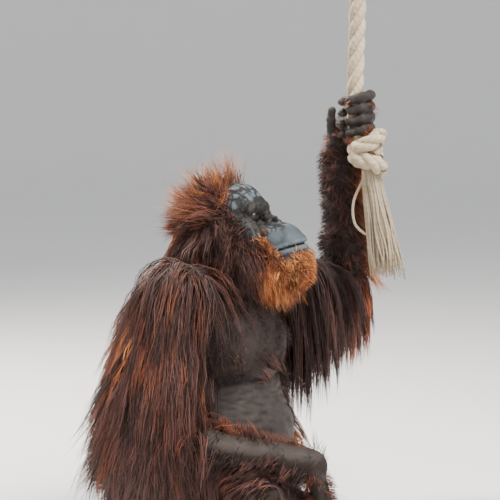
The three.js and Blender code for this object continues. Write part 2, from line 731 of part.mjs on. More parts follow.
// Finishes
const paint = {
  coat: { color: 0x6b3320, roughness: 0.9 },
  skin: { color: 0x3b3a3c, roughness: 0.7 },
  eye: { color: 0x2a1509, roughness: 0.15 },
  rope: { color: 0xbfa67e, roughness: 0.95 },
};
const SKIN_NODES = /^(hand|foot|finger|thumb|toe|ear|throat)/;
function paintOf(name) {
  if (name.startsWith("rope")) return paint.rope;
  if (name.startsWith("eye")) return paint.eye;
  return SKIN_NODES.test(name) ? paint.skin : paint.coat;
}
const group = new THREE.Group();
function surfaceOf(made) {
  const m = made.getMesh();
  const g = new THREE.BufferGeometry();
  g.setAttribute("position", new THREE.BufferAttribute(new Float32Array(m.vertProperties), 3));
  g.setIndex(new THREE.BufferAttribute(new Uint32Array(m.triVerts), 1));
  return g;
}
// Whether each edge has just two faces once corners that all but touch are taken as one
function sound(g) {
  const at = g.attributes.position;
  const corner = (i) => [at.getX(i), at.getY(i), at.getZ(i)].map((n) => Math.round(n * CORNER_PARTS)).join();
  const faces = new Map();
  for (let i = 0; i < g.index.count; i += 3) {
    const c = [0, 1, 2].map((k) => corner(g.index.getX(i + k)));
    if (new Set(c).size < 3) continue;
    for (let k = 0; k < 3; k++) {
      const edge = [c[k], c[(k + 1) % 3]].sort().join(" ");
      faces.set(edge, (faces.get(edge) ?? 0) + 1);
    }
  }
  return [...faces.values()].every((count) => count === 2);
}
// Corners of different sheets that meet at one place are drawn back into their own solid
function parted(g) {
  g.computeVertexNormals();
  const at = g.attributes.position;
  const out = g.attributes.normal;
  const corners = new Map();
  for (let i = 0; i < at.count; i++) {
    const key = [at.getX(i), at.getY(i), at.getZ(i)].map((n) => Math.round(n / WELD)).join();
    corners.set(key, [...(corners.get(key) ?? []), i]);
  }
  const p = new THREE.Vector3();
  const n = new THREE.Vector3();
  for (const group of corners.values()) {
    if (group.length < 2) continue;
    for (const i of group) {
      p.fromBufferAttribute(at, i).addScaledVector(n.fromBufferAttribute(out, i), -DRAWN_BACK);
      at.setXYZ(i, p.x, p.y, p.z);
    }
  }
  return g;
}
function tidied(name, made) {
  let g = surfaceOf(largest(solid(surfaceOf(made), null, WELD)));
  for (let i = 0; i < 4 && !sound(g); i++) g = surfaceOf(largest(solid(parted(g), null, WELD)));
  if (!sound(g)) throw new Error(name + " has sheets that meet along an edge");
  return g;
}
for (const [name, made] of Object.entries(nodes)) {
  const g = tidied(name, made);
  g.computeVertexNormals();
  const piece = new THREE.Mesh(g, new THREE.MeshStandardMaterial({ ...paintOf(name), metalness: 0 }));
  piece.name = name;
  group.add(piece);
}
export default group;
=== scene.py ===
"""A seated orangutan as a life-size museum model: its skin, coat, eyes, nails and the rope in its fist."""

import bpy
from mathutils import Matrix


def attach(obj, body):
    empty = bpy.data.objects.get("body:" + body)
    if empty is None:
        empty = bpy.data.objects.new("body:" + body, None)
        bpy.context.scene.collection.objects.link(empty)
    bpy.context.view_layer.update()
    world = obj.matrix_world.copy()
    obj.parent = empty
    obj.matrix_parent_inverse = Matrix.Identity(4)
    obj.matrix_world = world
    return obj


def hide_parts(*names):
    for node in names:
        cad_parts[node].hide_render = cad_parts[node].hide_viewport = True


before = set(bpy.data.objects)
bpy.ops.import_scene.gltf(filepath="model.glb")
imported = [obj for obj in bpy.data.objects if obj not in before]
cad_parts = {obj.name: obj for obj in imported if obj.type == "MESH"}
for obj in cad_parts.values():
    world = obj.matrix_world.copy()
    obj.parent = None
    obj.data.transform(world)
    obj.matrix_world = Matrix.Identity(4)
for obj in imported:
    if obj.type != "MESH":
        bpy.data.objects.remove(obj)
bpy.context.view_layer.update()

from types import SimpleNamespace

import bpy
import numpy as np
from bpy.props import FloatProperty, FloatVectorProperty, IntProperty, PointerProperty
from mathutils import Matrix, Vector

bl_info = {
    "name": "Orangutan display model",
    "version": (1, 0, 0),
    "blender": (4, 5, 0),
    "location": "View3D > Sidebar > Orangutan",
    "description": "Dresses a seated orangutan with skin, a long coat and the rope it holds",
    "category": "Object",
}

# Forms are worked out in millimetres and become metres when a mesh is made
MM = 0.001


def vec(*numbers):
    return np.array(numbers, float)


def unit(v):
    return v / np.maximum(np.linalg.norm(v, axis=-1, keepdims=True), 1e-9)


def dot(a, b):
    return (a * b).sum(-1, keepdims=True)


def step(value, low, high):
    """0 before low, 1 after high and smooth between; low may be the larger."""
    t = np.clip((value - low) / (high - low), 0, 1)
    return t * t * (3 - 2 * t)


def hump(value, centre, width):
    return np.exp(-(((value - centre) / width) ** 2))


# Joints of the pose
JOINT = {
    "pelvis": vec(-20, 0, 95),
    "belly": vec(36, 0, 190),
    "ribs": vec(5, 0, 350),
    "girdle": vec(12, 0, 455),
    "neck": vec(20, 2, 535),
    "head": vec(52, 8, 628),
    "shoulder_r": vec(40, -160, 500),
    "elbow_r": vec(12, -248, 192),
    "wrist_r": vec(294, -66, 146),
    "knuckle_r": vec(316, -52, 50),
    "shoulder_l": vec(72, 158, 488),
    "elbow_l": vec(88, 478, 462),
    "wrist_l": vec(140, 340, 750),
    "hip_r": vec(0, -88, 92),
    "knee_r": vec(238, -172, 84),
    "ankle_r": vec(222, 22, 44),
    "hip_l": vec(0, 88, 92),
    "knee_l": vec(-4, 322, 84),
    "ankle_l": vec(96, 122, 44),
}
HEAD_YAW, HEAD_PITCH = np.radians(10), np.radians(25)
EYE_R = 11.5
ROPE_R = 18
FINGER_R = 11.2
FINGER_PITCH = 23.6
TOE_PITCH = 17.6
ROPE_TOP, ROPE_GRIP, ROPE_LOW = vec(189, 328, 1128), vec(184, 326, 862), vec(196, 320, 797)
ROPE_KNOT, ROPE_END = vec(222, 312, 768), vec(262, 336, 505)
VIEW_ACROSS, VIEW_ALONG = vec(-0.5, 0.866, 0), vec(0.866, 0.5, 0)
DOWN = vec(0, 0, -1)
TURN = 2 * np.pi
# How far skin, guide lines and strands keep above the floor (a guide line keeps as far off the flesh),
# and how deep in the flesh a guide line starts
SKIN_CLEAR, LINE_CLEAR, STRAND_CLEAR = 0.6, 4, 2.5
ROOT_DEPTH = 7


def head_turn():
    cy, sy, cp, sp = np.cos(HEAD_YAW), np.sin(HEAD_YAW), np.cos(HEAD_PITCH), np.sin(HEAD_PITCH)
    yaw = np.array([[cy, -sy, 0], [sy, cy, 0], [0, 0, 1]])
    pitch = np.array([[cp, 0, -sp], [0, 1, 0], [sp, 0, cp]])
    return yaw @ pitch


HEAD_TURN = head_turn()


def on_head(p):
    return p @ HEAD_TURN.T + JOINT["head"]


def to_head(p):
    return (p - JOINT["head"]) @ HEAD_TURN


def head_way(*way):
    return vec(*way) @ HEAD_TURN.T


# Rounded forms, each a distance from its surface, with the balls that its rough shape starts from
def form_of(distance, seeds):
    distance.seeds = seeds
    return distance


def ball(centre, radii):
    c, r = vec(*centre), vec(*radii)

    def distance(p):
        q = p - c
        k0 = np.linalg.norm(q / r, axis=1)
        k1 = np.linalg.norm(q / r**2, axis=1)
        return np.where(k1 < 1e-9, -r.min(), k0 * (k0 - 1) / np.maximum(k1, 1e-9))

    return form_of(distance, [(c, r)])


def taper(a, ra, b, rb):
    a, b = np.asarray(a, float), np.asarray(b, float)
    axis = b - a

    def distance(p):
        q = p - a
        t = np.clip(q @ axis / (axis @ axis), 0, 1)
        return np.linalg.norm(q - t[:, None] * axis, axis=1) - (ra + (rb - ra) * t)

    count = int(np.linalg.norm(axis) / (1.1 * min(ra, rb))) + 2
    seeds = [(a + axis * t, vec(1, 1, 1) * (ra + (rb - ra) * t)) for t in np.linspace(0, 1, count)]
    return form_of(distance, seeds)


def slab(a, b, side, width, thick):
    """A flat bar with round ends, half of width and thick across."""
    a, b = np.asarray(a, float), np.asarray(b, float)
    length = np.linalg.norm(b - a)
    way = (b - a) / length
    u = unit(side - way * (side @ way))
    v = np.cross(way, u)
    size = vec(width, thick, width)

    def distance(p):
        q = p - a
        run = q @ way
        past = run - np.clip(run, 0, length)
        k = np.stack([q @ u, q @ v, past], 1)
        k0 = np.linalg.norm(k / size, axis=1)
        k1 = np.linalg.norm(k / size**2, axis=1)
        return k0 * (k0 - 1) / np.maximum(k1, 1e-9)

    places = [(s, t) for s in np.linspace(0, 1, 4) for t in (-1, 0, 1)]
    seeds = [(a + (b - a) * s + u * (width - thick) * t, vec(1, 1, 1) * thick) for s, t in places]
    return form_of(distance, seeds)


def blend(fillet, *forms):
    def distance(p):
        d = forms[0](p)
        for form in forms[1:]:
            e = form(p)
            h = np.maximum(fillet - np.abs(d - e), 0) / fillet
            d = np.minimum(d, e) - h * h * fillet / 4
        return d

    return form_of(distance, [seed for form in forms for seed in form.seeds])


def nearby(form, margin=60):
    """The same form, worked out only near it, which is all that matters where forms are run together."""
    low = np.min([c - r for c, r in form.seeds], 0) - margin
    high = np.max([c + r for c, r in form.seeds], 0) + margin

    def distance(p):
        out = np.linalg.norm(np.maximum(low - p, 0) + np.maximum(p - high, 0), axis=1) + margin
        near = ((p > low) & (p < high)).all(1)
        if near.any():
            out[near] = form(p[near])
        return out

    return form_of(distance, form.seeds)


def slope(form, p, e=1.2):
    parts = [form(p + e * axis) - form(p - e * axis) for axis in np.eye(3)]
    return unit(np.stack(parts, 1))


def smooth_line(points, count):
    """Points along a smooth line through the given ones."""
    p = np.array([2 * points[0] - points[1], *points, 2 * points[-1] - points[-2]])
    made = []
    for t in np.linspace(0, len(points) - 1, count):
        i = min(int(t), len(points) - 2)
        f = t - i
        a, b, c, d = p[i : i + 4]
        made.append(
            0.5 * (2 * b + (c - a) * f + (2 * a - 5 * b + 4 * c - d) * f**2 + (3 * b - a - 3 * c + d) * f**3)
        )
    return np.array(made)


def digit(points, radii, count=7):
    line = smooth_line(points, count)
    r = np.interp(np.linspace(0, 1, count), np.linspace(0, 1, len(radii)), radii)
    joints = 1 + 0.07 * np.cos(np.linspace(0, 3 * TURN, count))
    r = r * joints * 0.97
    form = blend(2, *[taper(line[i], r[i], line[i + 1], r[i + 1]) for i in range(count - 1)])
    form.seeds = [(line[i], vec(1, 1, 1) * r[i]) for i in range(count)]
    return form


def place(origin, forward, away, up):
    return origin + VIEW_ALONG * forward + VIEW_ACROSS * away + vec(0, 0, up)


def limb(start, end, fillet, *stages):
    """A limb of tapers, each given by where it starts and ends along the bone and its radius there."""
    at = lambda t: JOINT[start] + (JOINT[end] - JOINT[start]) * t
    return blend(fillet, *[taper(at(s), rs, at(e), re) for s, rs, e, re in stages])


def finger_lines():
    lines = {}
    for i in range(4):
        rise = 22 - FINGER_PITCH * i
        ring = ROPE_R + FINGER_R + 3.5
        turns = [(95, 1.25, -4), (45, 1.12, 2), (0, 1, 5), (-50, 1, 3), (-100, 1, -3), (-150, 1.02, -9)]
        curl = []
        for degrees, far, up in turns:
            a = np.radians(degrees)
            curl.append(place(ROPE_GRIP, far * ring * np.cos(a), far * ring * np.sin(a), rise + up))
        lines[f"finger_l{i}"] = (curl, [FINGER_R, FINGER_R, FINGER_R, FINGER_R - 3])
        a = 31 - 20.4 * i
        bends = [(2, 2), (8, -24), (-12, -42), (-40, -41), (-52, -26)]
        lines[f"finger_r{i}"] = ([place(JOINT["knuckle_r"], f, a, z) for f, z in bends], [9.7, 9.7, 9.2, 8])
    lines["thumb_l"] = (
        [place(ROPE_GRIP, -42, 18, -70), place(ROPE_GRIP, -52, 6, -38), place(ROPE_GRIP, -50, 0, -6)],
        [13, 10, 8],
    )
    lines["thumb_r"] = (
        [place(JOINT["knuckle_r"], f, a, z) for f, a, z in ((-12, 34, 44), (-26, 40, 22), (-32, 38, 0))],
        [12, 9, 7],
    )
    feet = (
        ("r", vec(214, 42, 28), vec(-0.5, 0.866, 0), vec(-0.866, -0.5, 0)),
        ("l", vec(98, 96, 28), vec(0.36, -0.93, 0), vec(0.93, 0.36, 0)),
    )
    for side, heel, toe_way, inner in feet:
        at = lambda f, a, z: heel + toe_way * f + inner * a + vec(0, 0, z)
        for i in range(4):
            a = (1.5 - i) * TOE_PITCH
            lines[f"toe_{side}{i}"] = (
                [at(88, a, -8), at(114, a, -3), at(136, a, -12), at(146, a, -24)],
                [8.2, 8.2, 8, 6.5],
            )
        lines[f"toe_{side}4"] = ([at(18, 26, 2), at(42, 48, 0), at(62, 52, -8)], [13, 11, 9])
        lines[f"sole_{side}"] = ([at(-22, 0, -4), at(86, 2, -8)], inner)
    return lines


LINES = finger_lines()


def extremity(base, names):
    digits = [digit(*LINES[name]) for name in names]
    made = lambda p: np.minimum.reduce([d(p) for d in digits])
    together = form_of(made, [seed for d in digits for seed in d.seeds])
    return nearby(blend(7, base, together), 30)


def body_parts():
    """The forms of the flesh, by the names of what they are."""
    j = JOINT
    grip, knuckle = ROPE_GRIP, j["knuckle_r"]
    skull = blend(
        16,
        ball((-8, 0, 2), (80, 68, 70)),
        ball((34, 0, 12), (50, 52, 48)),
        ball((33, 0, 24), (51, 50, 45)),
        ball((70, -26, 0), (17, 27, 13)),
        ball((70, 26, 0), (17, 27, 13)),
        ball((79, 0, -1), (14, 21, 16)),
        ball((44, -46, -42), (30, 24, 34)),
        ball((44, 46, -42), (30, 24, 34)),
        ball((52, 0, -70), (48, 50, 46)),
        ball((90, 0, -90), (48, 48, 47)),
        ball((70, 0, -128), (58, 43, 34)),
        ball((92, 0, -148), (32, 34, 30)),
        taper((8, -46, -60), 28, (62, -28, -132), 26),
        taper((8, 46, -60), 28, (62, 28, -132), 26),
        taper((86, 0, -24), 9, (91, 0, -38), 11),
    )
    lips = blend(6, ball((109, 0, -95), (32, 42, 13)), ball((105, 0, -117), (33, 39, 12)))
    face = blend(9, skull, lips)
    ears = []
    for way in (-1, 1):
        cup, hollow = ball((-4, way * 66, -14), (9, 13, 20)), ball((1, way * 74, -13), (8, 9, 14))
        ears.append(form_of(lambda p, cup=cup, hollow=hollow: np.maximum(cup(p), -hollow(p)), cup.seeds))
    lids = [ball(EYES[side], vec(1, 1, 1) * (EYE_R + 2.8)) for side in "rl"]
    face = blend(4, face, *lids, *ears)
    face_seeds = [(on_head(c), r.max() * vec(1, 1, 1) * 0.8) for c, r in face.seeds]
    head = form_of(lambda p: face(to_head(p)), face_seeds)
    foot = lambda side: extremity(
        slab(*LINES[f"sole_{side}"][0], LINES[f"sole_{side}"][1], 31, 24), [f"toe_{side}{i}" for i in range(5)]
    )
    return {
        "torso": blend(
            60,
            ball(j["pelvis"], (122, 142, 100)),
            ball((-48, -62, 72), (96, 82, 78)),
            ball((-48, 62, 72), (96, 82, 78)),
            ball(j["belly"], (156, 158, 128)),
            ball((-30, 0, 260), (128, 158, 150)),
            ball(j["ribs"], (146, 160, 150)),
            ball(j["girdle"], (112, 158, 84)),
        ),
        "neck": blend(
            30,
            taper((8, 0, 500), 84, j["neck"], 74),
            taper(j["neck"], 74, j["head"] + vec(-12, 0, -12), 60),
            taper((52, 4, 520), 56, on_head(vec(34, 0, -100)), 42),
        ),
        "pouch": blend(
            30,
            ball((82, 0, 410), (74, 98, 96)),
            ball((76, -70, 372), (82, 78, 66)),
            ball((77, 60, 378), (76, 74, 68)),
        ),
        "head": head,
        "upper_arm_r": limb("shoulder_r", "elbow_r", 24, (0, 56, 0.45, 52), (0.35, 54, 1, 45)),
        "upper_arm_l": limb("shoulder_l", "elbow_l", 24, (0, 56, 0.45, 52), (0.35, 54, 1, 45)),
        "thigh_r": limb("hip_r", "knee_r", 24, (0, 72, 0.5, 62), (0.4, 62, 1, 46)),
        "thigh_l": limb("hip_l", "knee_l", 24, (0, 72, 0.5, 62), (0.4, 62, 1, 46)),
        "forearm_r": limb("elbow_r", "wrist_r", 24, (0, 37, 0.3, 48), (0.3, 48, 0.95, 30), (0.7, 33, 1, 30)),
        "forearm_l": limb("elbow_l", "wrist_l", 24, (0, 37, 0.3, 44), (0.3, 44, 0.95, 30), (0.7, 33, 1, 30)),
        "shin_r": limb("knee_r", "ankle_r", 20, (0, 38, 0.35, 43), (0.3, 42, 1, 29)),
        "shin_l": limb("knee_l", "ankle_l", 20, (0, 38, 0.35, 43), (0.3, 42, 1, 29)),
        "hand_l": extremity(
            blend(
                14,
                slab(j["wrist_l"], place(grip, -26, 34, -58), vec(0.5, 0.2, 0.85), 32, 18),
                slab(place(grip, -26, 34, -58), place(grip, -2, 40, -10), vec(0.5, 0.2, 0.85), 38, 17),
            ),
            [f"finger_l{i}" for i in range(4)] + ["thumb_l"],
        ),
        "hand_r": extremity(
            slab(j["wrist_r"] * 0.88 + knuckle * 0.12, knuckle + vec(0, 0, 6), VIEW_ACROSS, 36, 20),
            [f"finger_r{i}" for i in range(4)] + ["thumb_r"],
        ),
        "foot_r": foot("r"),
        "foot_l": foot("l"),
    }


EYES = {"r": vec(64, -31, -12), "l": vec(64, 31, -12)}
PARTS = {name: nearby(form) for name, form in body_parts().items()}
PART_NAMES = list(PARTS)
EXTREMITIES = ("hand_l", "hand_r", "foot_l", "foot_r")


def body(p):
    """The whole flesh: the trunk runs smoothly into head and limbs, and what only touches stays apart."""
    fillets = {"neck": 30, "pouch": 9, "head": 14, "hand_l": 8, "hand_r": 8, "foot_r": 8, "foot_l": 8}
    fillets |= {"upper_arm_r": 26, "upper_arm_l": 26, "thigh_r": 26, "thigh_l": 26}
    d = PARTS["torso"](p)
    for name in PART_NAMES[1:]:
        fillet = fillets.get(name, 5)
        e = PARTS[name](p)
        h = np.maximum(fillet - np.abs(d - e), 0) / fillet
        d = np.minimum(d, e) - h * h * fillet / 4
    return d


def part_at(p):
    """Which part each point belongs to."""
    return np.argmin([form(p) for form in PARTS.values()], 0)


def among(part, *names):
    return np.isin(part, [PART_NAMES.index(name) for name in names])


def settled(form, p, times=3, most=8):
    """Points moved onto a form."""
    for _ in range(times):
        p = p - slope(form, p) * np.clip(form(p), -most, most)[:, None]
    return p


def ripple(p, size, seed, waves=7):
    """A smooth random height from -1 to 1 whose bumps are about that size."""
    rng = np.random.default_rng(seed)
    total = 0
    for _ in range(waves):
        way = unit(rng.normal(size=3)) * TURN / (size * rng.uniform(0.7, 1.5))
        total = total + np.sin(p @ way + rng.uniform(0, 6.28))
    return total / np.sqrt(waves * 2.2)


# Working with objects
def deselect():
    if bpy.context.mode != "OBJECT":
        bpy.ops.object.mode_set(mode="OBJECT")
    bpy.ops.object.select_all(action="DESELECT")


def active(obj):
    deselect()
    obj.select_set(True)
    bpy.context.view_layer.objects.active = obj
    return obj


def join(objects, name):
    deselect()
    for o in objects:
        o.select_set(True)
    bpy.context.view_layer.objects.active = objects[0]
    if len(objects) > 1:
        bpy.ops.object.join()
    made = bpy.context.view_layer.objects.active
    made.name = made.data.name = name
    return settle_place(made)


def settle_place(obj):
    active(obj)
    bpy.ops.object.transform_apply(location=True, rotation=True, scale=True)
    return obj


def apply_modifier(obj, kind, **values):
    active(obj)
    modifier = obj.modifiers.new(kind.lower(), kind)
    for key, value in values.items():
        setattr(modifier, key, value)
    bpy.ops.object.modifier_apply(modifier=modifier.name)


def points_of(obj):
    co = np.empty(len(obj.data.vertices) * 3)
    obj.data.vertices.foreach_get("co", co)
    return co.reshape(-1, 3) / MM


def move_points(obj, p):
    obj.data.vertices.foreach_set("co", (p * MM).ravel())
    obj.data.update()


def mesh_object(name, points, faces, material):
    mesh = bpy.data.meshes.new(name)
    mesh.from_pydata(points * MM, [], faces)
    obj = bpy.data.objects.new(name, mesh)
    bpy.context.collection.objects.link(obj)
    mesh.shade_smooth()
    mesh.materials.append(material)
    return obj


def colour_points(obj, name, values):
    values = np.column_stack([values, np.ones(len(values))]) if values.shape[1] == 3 else values
    attribute = obj.data.color_attributes.new(name, "FLOAT_COLOR", "POINT")
    attribute.data.foreach_set("color", np.clip(values, 0, 1).astype(np.float32).ravel())


def uv_points(obj, name, uv):
    """A UV map from one place per vertex."""
    corners = np.empty(len(obj.data.loops), np.int32)
    obj.data.loops.foreach_get("vertex_index", corners)
    layer = obj.data.uv_layers.new(name=name)
    layer.data.foreach_set("uv", uv[corners].astype(np.float32).ravel())


def dressed(obj, slot, *nodes):
    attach(obj, "root")
    if nodes:
        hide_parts(*nodes)
    return obj


# Shaders
class Shader:
    """A material's nodes, linked by short calls."""

    def __init__(self, tree):
        self.tree = tree

    def node(self, kind, inputs=None, **values):
        node = self.tree.nodes.new(kind)
        for key, value in values.items():
            setattr(node, key, value)
        for key, value in (inputs or {}).items():
            if isinstance(value, bpy.types.NodeSocket):
                self.tree.links.new(value, node.inputs[key])
            else:
                node.inputs[key].default_value = value
        return node

    def math(self, operation, a, b=0.0, c=0.5):
        return self.node("ShaderNodeMath", {0: a, 1: b, 2: c}, operation=operation).outputs[0]

    def mix(self, factor, a, b, kind="MIX"):
        node = self.node("ShaderNodeMix", data_type="RGBA", blend_type=kind)
        for key, value in ((0, factor), (6, a), (7, b)):
            if isinstance(value, bpy.types.NodeSocket):
                self.tree.links.new(value, node.inputs[key])
            else:
                node.inputs[key].default_value = value
        return node.outputs[2]

    def lit(self, colour, strength):
        """The colour, made lighter or darker by a strength round 1."""
        grey = self.node("ShaderNodeCombineColor", {0: strength, 1: strength, 2: strength}).outputs[0]
        return self.mix(1.0, colour, grey, "MULTIPLY")

    def ramp(self, factor, *stops):
        node = self.node("ShaderNodeValToRGB", {0: factor})
        elements = node.color_ramp.elements
        while len(elements) < len(stops):
            elements.new(1)
        for element, (position, colour) in zip(elements, stops):
            element.position = position
            element.color = colour
        return node.outputs[0]

    def range(self, value, low, high, to_low=0.0, to_high=1.0):
        inputs = {0: value, 1: low, 2: high, 3: to_low, 4: to_high}
        return self.node("ShaderNodeMapRange", inputs).outputs[0]

    def noise(self, scale, detail=4.0, coordinates=None, stretch=None):
        where = coordinates or self.node("ShaderNodeTexCoord").outputs["Object"]
        if stretch:
            where = self.node("ShaderNodeMapping", {0: where, 3: stretch}).outputs[0]
        inputs = {"Vector": where, "Scale": scale, "Detail": detail, "Roughness": 0.55}
        return self.node("ShaderNodeTexNoise", inputs).outputs[0]

    def attribute(self, name):
        node = self.node("ShaderNodeAttribute", attribute_name=name)
        split = self.node("ShaderNodeSeparateColor", {0: node.outputs["Color"]})
        return [*split.outputs, node.outputs["Alpha"]]


def material(name, build, **sockets):
    made = bpy.data.materials.get(name)
    if made:
        return made
    made = bpy.data.materials.new(name)
    made.use_nodes = True
    s = Shader(made.node_tree)
    principled = made.node_tree.nodes["Principled BSDF"]
    for key, value in sockets.items():
        principled.inputs[key.replace("_", " ")].default_value = value
    for key, value in build(s).items():
        made.node_tree.links.new(value, principled.inputs[key])
    return made


def drift_group():
    """Slow changes of tone over a surface, shared by skin, coat and rope."""
    made = bpy.data.node_groups.get("tone_drift")
    if made:
        return made
    made = bpy.data.node_groups.new("tone_drift", "ShaderNodeTree")
    sockets = (("Color", "NodeSocketColor"), ("Size", "NodeSocketFloat"), ("Amount", "NodeSocketFloat"))
    for name, kind in sockets:
        made.interface.new_socket(name, in_out="INPUT", socket_type=kind)
    made.interface.new_socket("Color", in_out="OUTPUT", socket_type="NodeSocketColor")
    s = Shader(made)
    source, result = s.node("NodeGroupInput"), s.node("NodeGroupOutput")
    wide = s.noise(source.outputs["Size"], 5.0)
    centred = s.math("SUBTRACT", wide, 0.5)
    swing = s.math("MULTIPLY_ADD", centred, source.outputs["Amount"], 1.0)
    made.links.new(s.lit(source.outputs["Color"], swing), result.inputs[0])
    return made


def drift(s, colour, size, amount):
    node = s.node("ShaderNodeGroup", node_tree=drift_group())
    s.tree.links.new(colour, node.inputs["Color"])
    node.inputs["Size"].default_value = size
    node.inputs["Amount"].default_value = amount
    return node.outputs[0]


def rgb(colour):
    return (*colour[:3], 1.0)


def coat_material():
    colours = bpy.context.scene.orangutan_colours

    def build(s):
        rust, shade, along, _ = s.attribute("Lock")
        base = s.ramp(
            rust,
            (0.0, rgb(colours.deep)),
            (0.35, rgb(colours.brown)),
            (0.65, rgb(colours.russet)),
            (0.86, rgb(colours.orange)),
            (1.0, rgb(colours.gold)),
        )
        greyed = s.mix(s.math("MULTIPLY", s.noise(14, 3.0), 0.6), base, rgb(colours.rose))
        faded = s.math("MULTIPLY", s.range(rust, 0.12, 0.32), s.range(rust, 0.4, 0.65, 1.0, 0.1))
        base = s.mix(faded, base, greyed)
        light = s.math("MULTIPLY", s.range(shade, 0, 1, 0.3, 1.7), s.range(along, 0, 1, 0.6, 1.15))
        base = drift(s, s.lit(base, light), 9, 0.7)
        return {"Base Color": base, "Roughness": s.range(shade, 0, 1, 0.62, 0.42)}

    return material("coat_hair", build, Specular_IOR_Level=0.22, Sheen_Weight=0.05)


def skin_material():
    colours = bpy.context.scene.orangutan_colours

    def build(s):
        blue, hair, dry, relief_light_and_shade = s.attribute("Markings_and_shading")
        base = s.mix(dry, rgb(colours.hide), rgb(colours.dry_hide))
        base = s.mix(blue, base, rgb(colours.face))
        # painted highlights: the raised folds lighter, most on the bluer muzzle and brow
        ridges = s.math("MULTIPLY", s.range(relief_light_and_shade, 0.46, 0.86), s.range(blue, 0, 1, 0.15, 1.0))
        base = s.mix(ridges, base, rgb(colours.face_ridge_highlight))
        # painted shade: the grooves of folds, wrinkles and creases darker
        creased = s.mix(s.range(relief_light_and_shade, 0.5, 0.15), base, rgb(colours.crease_shade))
        base = s.mix(hair, drift(s, creased, 40, 1.0), rgb(colours.under_coat))
        cells = s.node("ShaderNodeTexVoronoi", {"Scale": 260.0}, feature="DISTANCE_TO_EDGE")
        cracks = s.range(cells.outputs["Distance"], 0.0, 0.16)
        pores = s.math("MULTIPLY_ADD", s.noise(900, 3.0), 0.25)
        rough = s.noise(120, 6.0)
        tall = s.math("ADD", s.math("MULTIPLY_ADD", cracks, 0.5, pores), rough)
        bump = s.node("ShaderNodeBump", {"Height": tall, "Strength": 0.55, "Distance": 0.0016})
        dullness = s.math("MULTIPLY_ADD", rough, 0.25, 0.34)
        dullness = s.math("ADD", dullness, s.math("MULTIPLY", hair, 0.35))
        return {"Base Color": base, "Normal": bump.outputs[0], "Roughness": dullness}

    return material("hide", build, Specular_IOR_Level=0.32)


# The skin
MOUTH = vec(74, 0, -97)
MOUTH_RISE = np.radians(-7.5)
# The slit between the lids, in radians seen from the eye's middle: half its height, half its width
# and its turn outwards
LID_OPEN, LID_WIDE, LID_TURN = 0.5, 0.9, 0.16


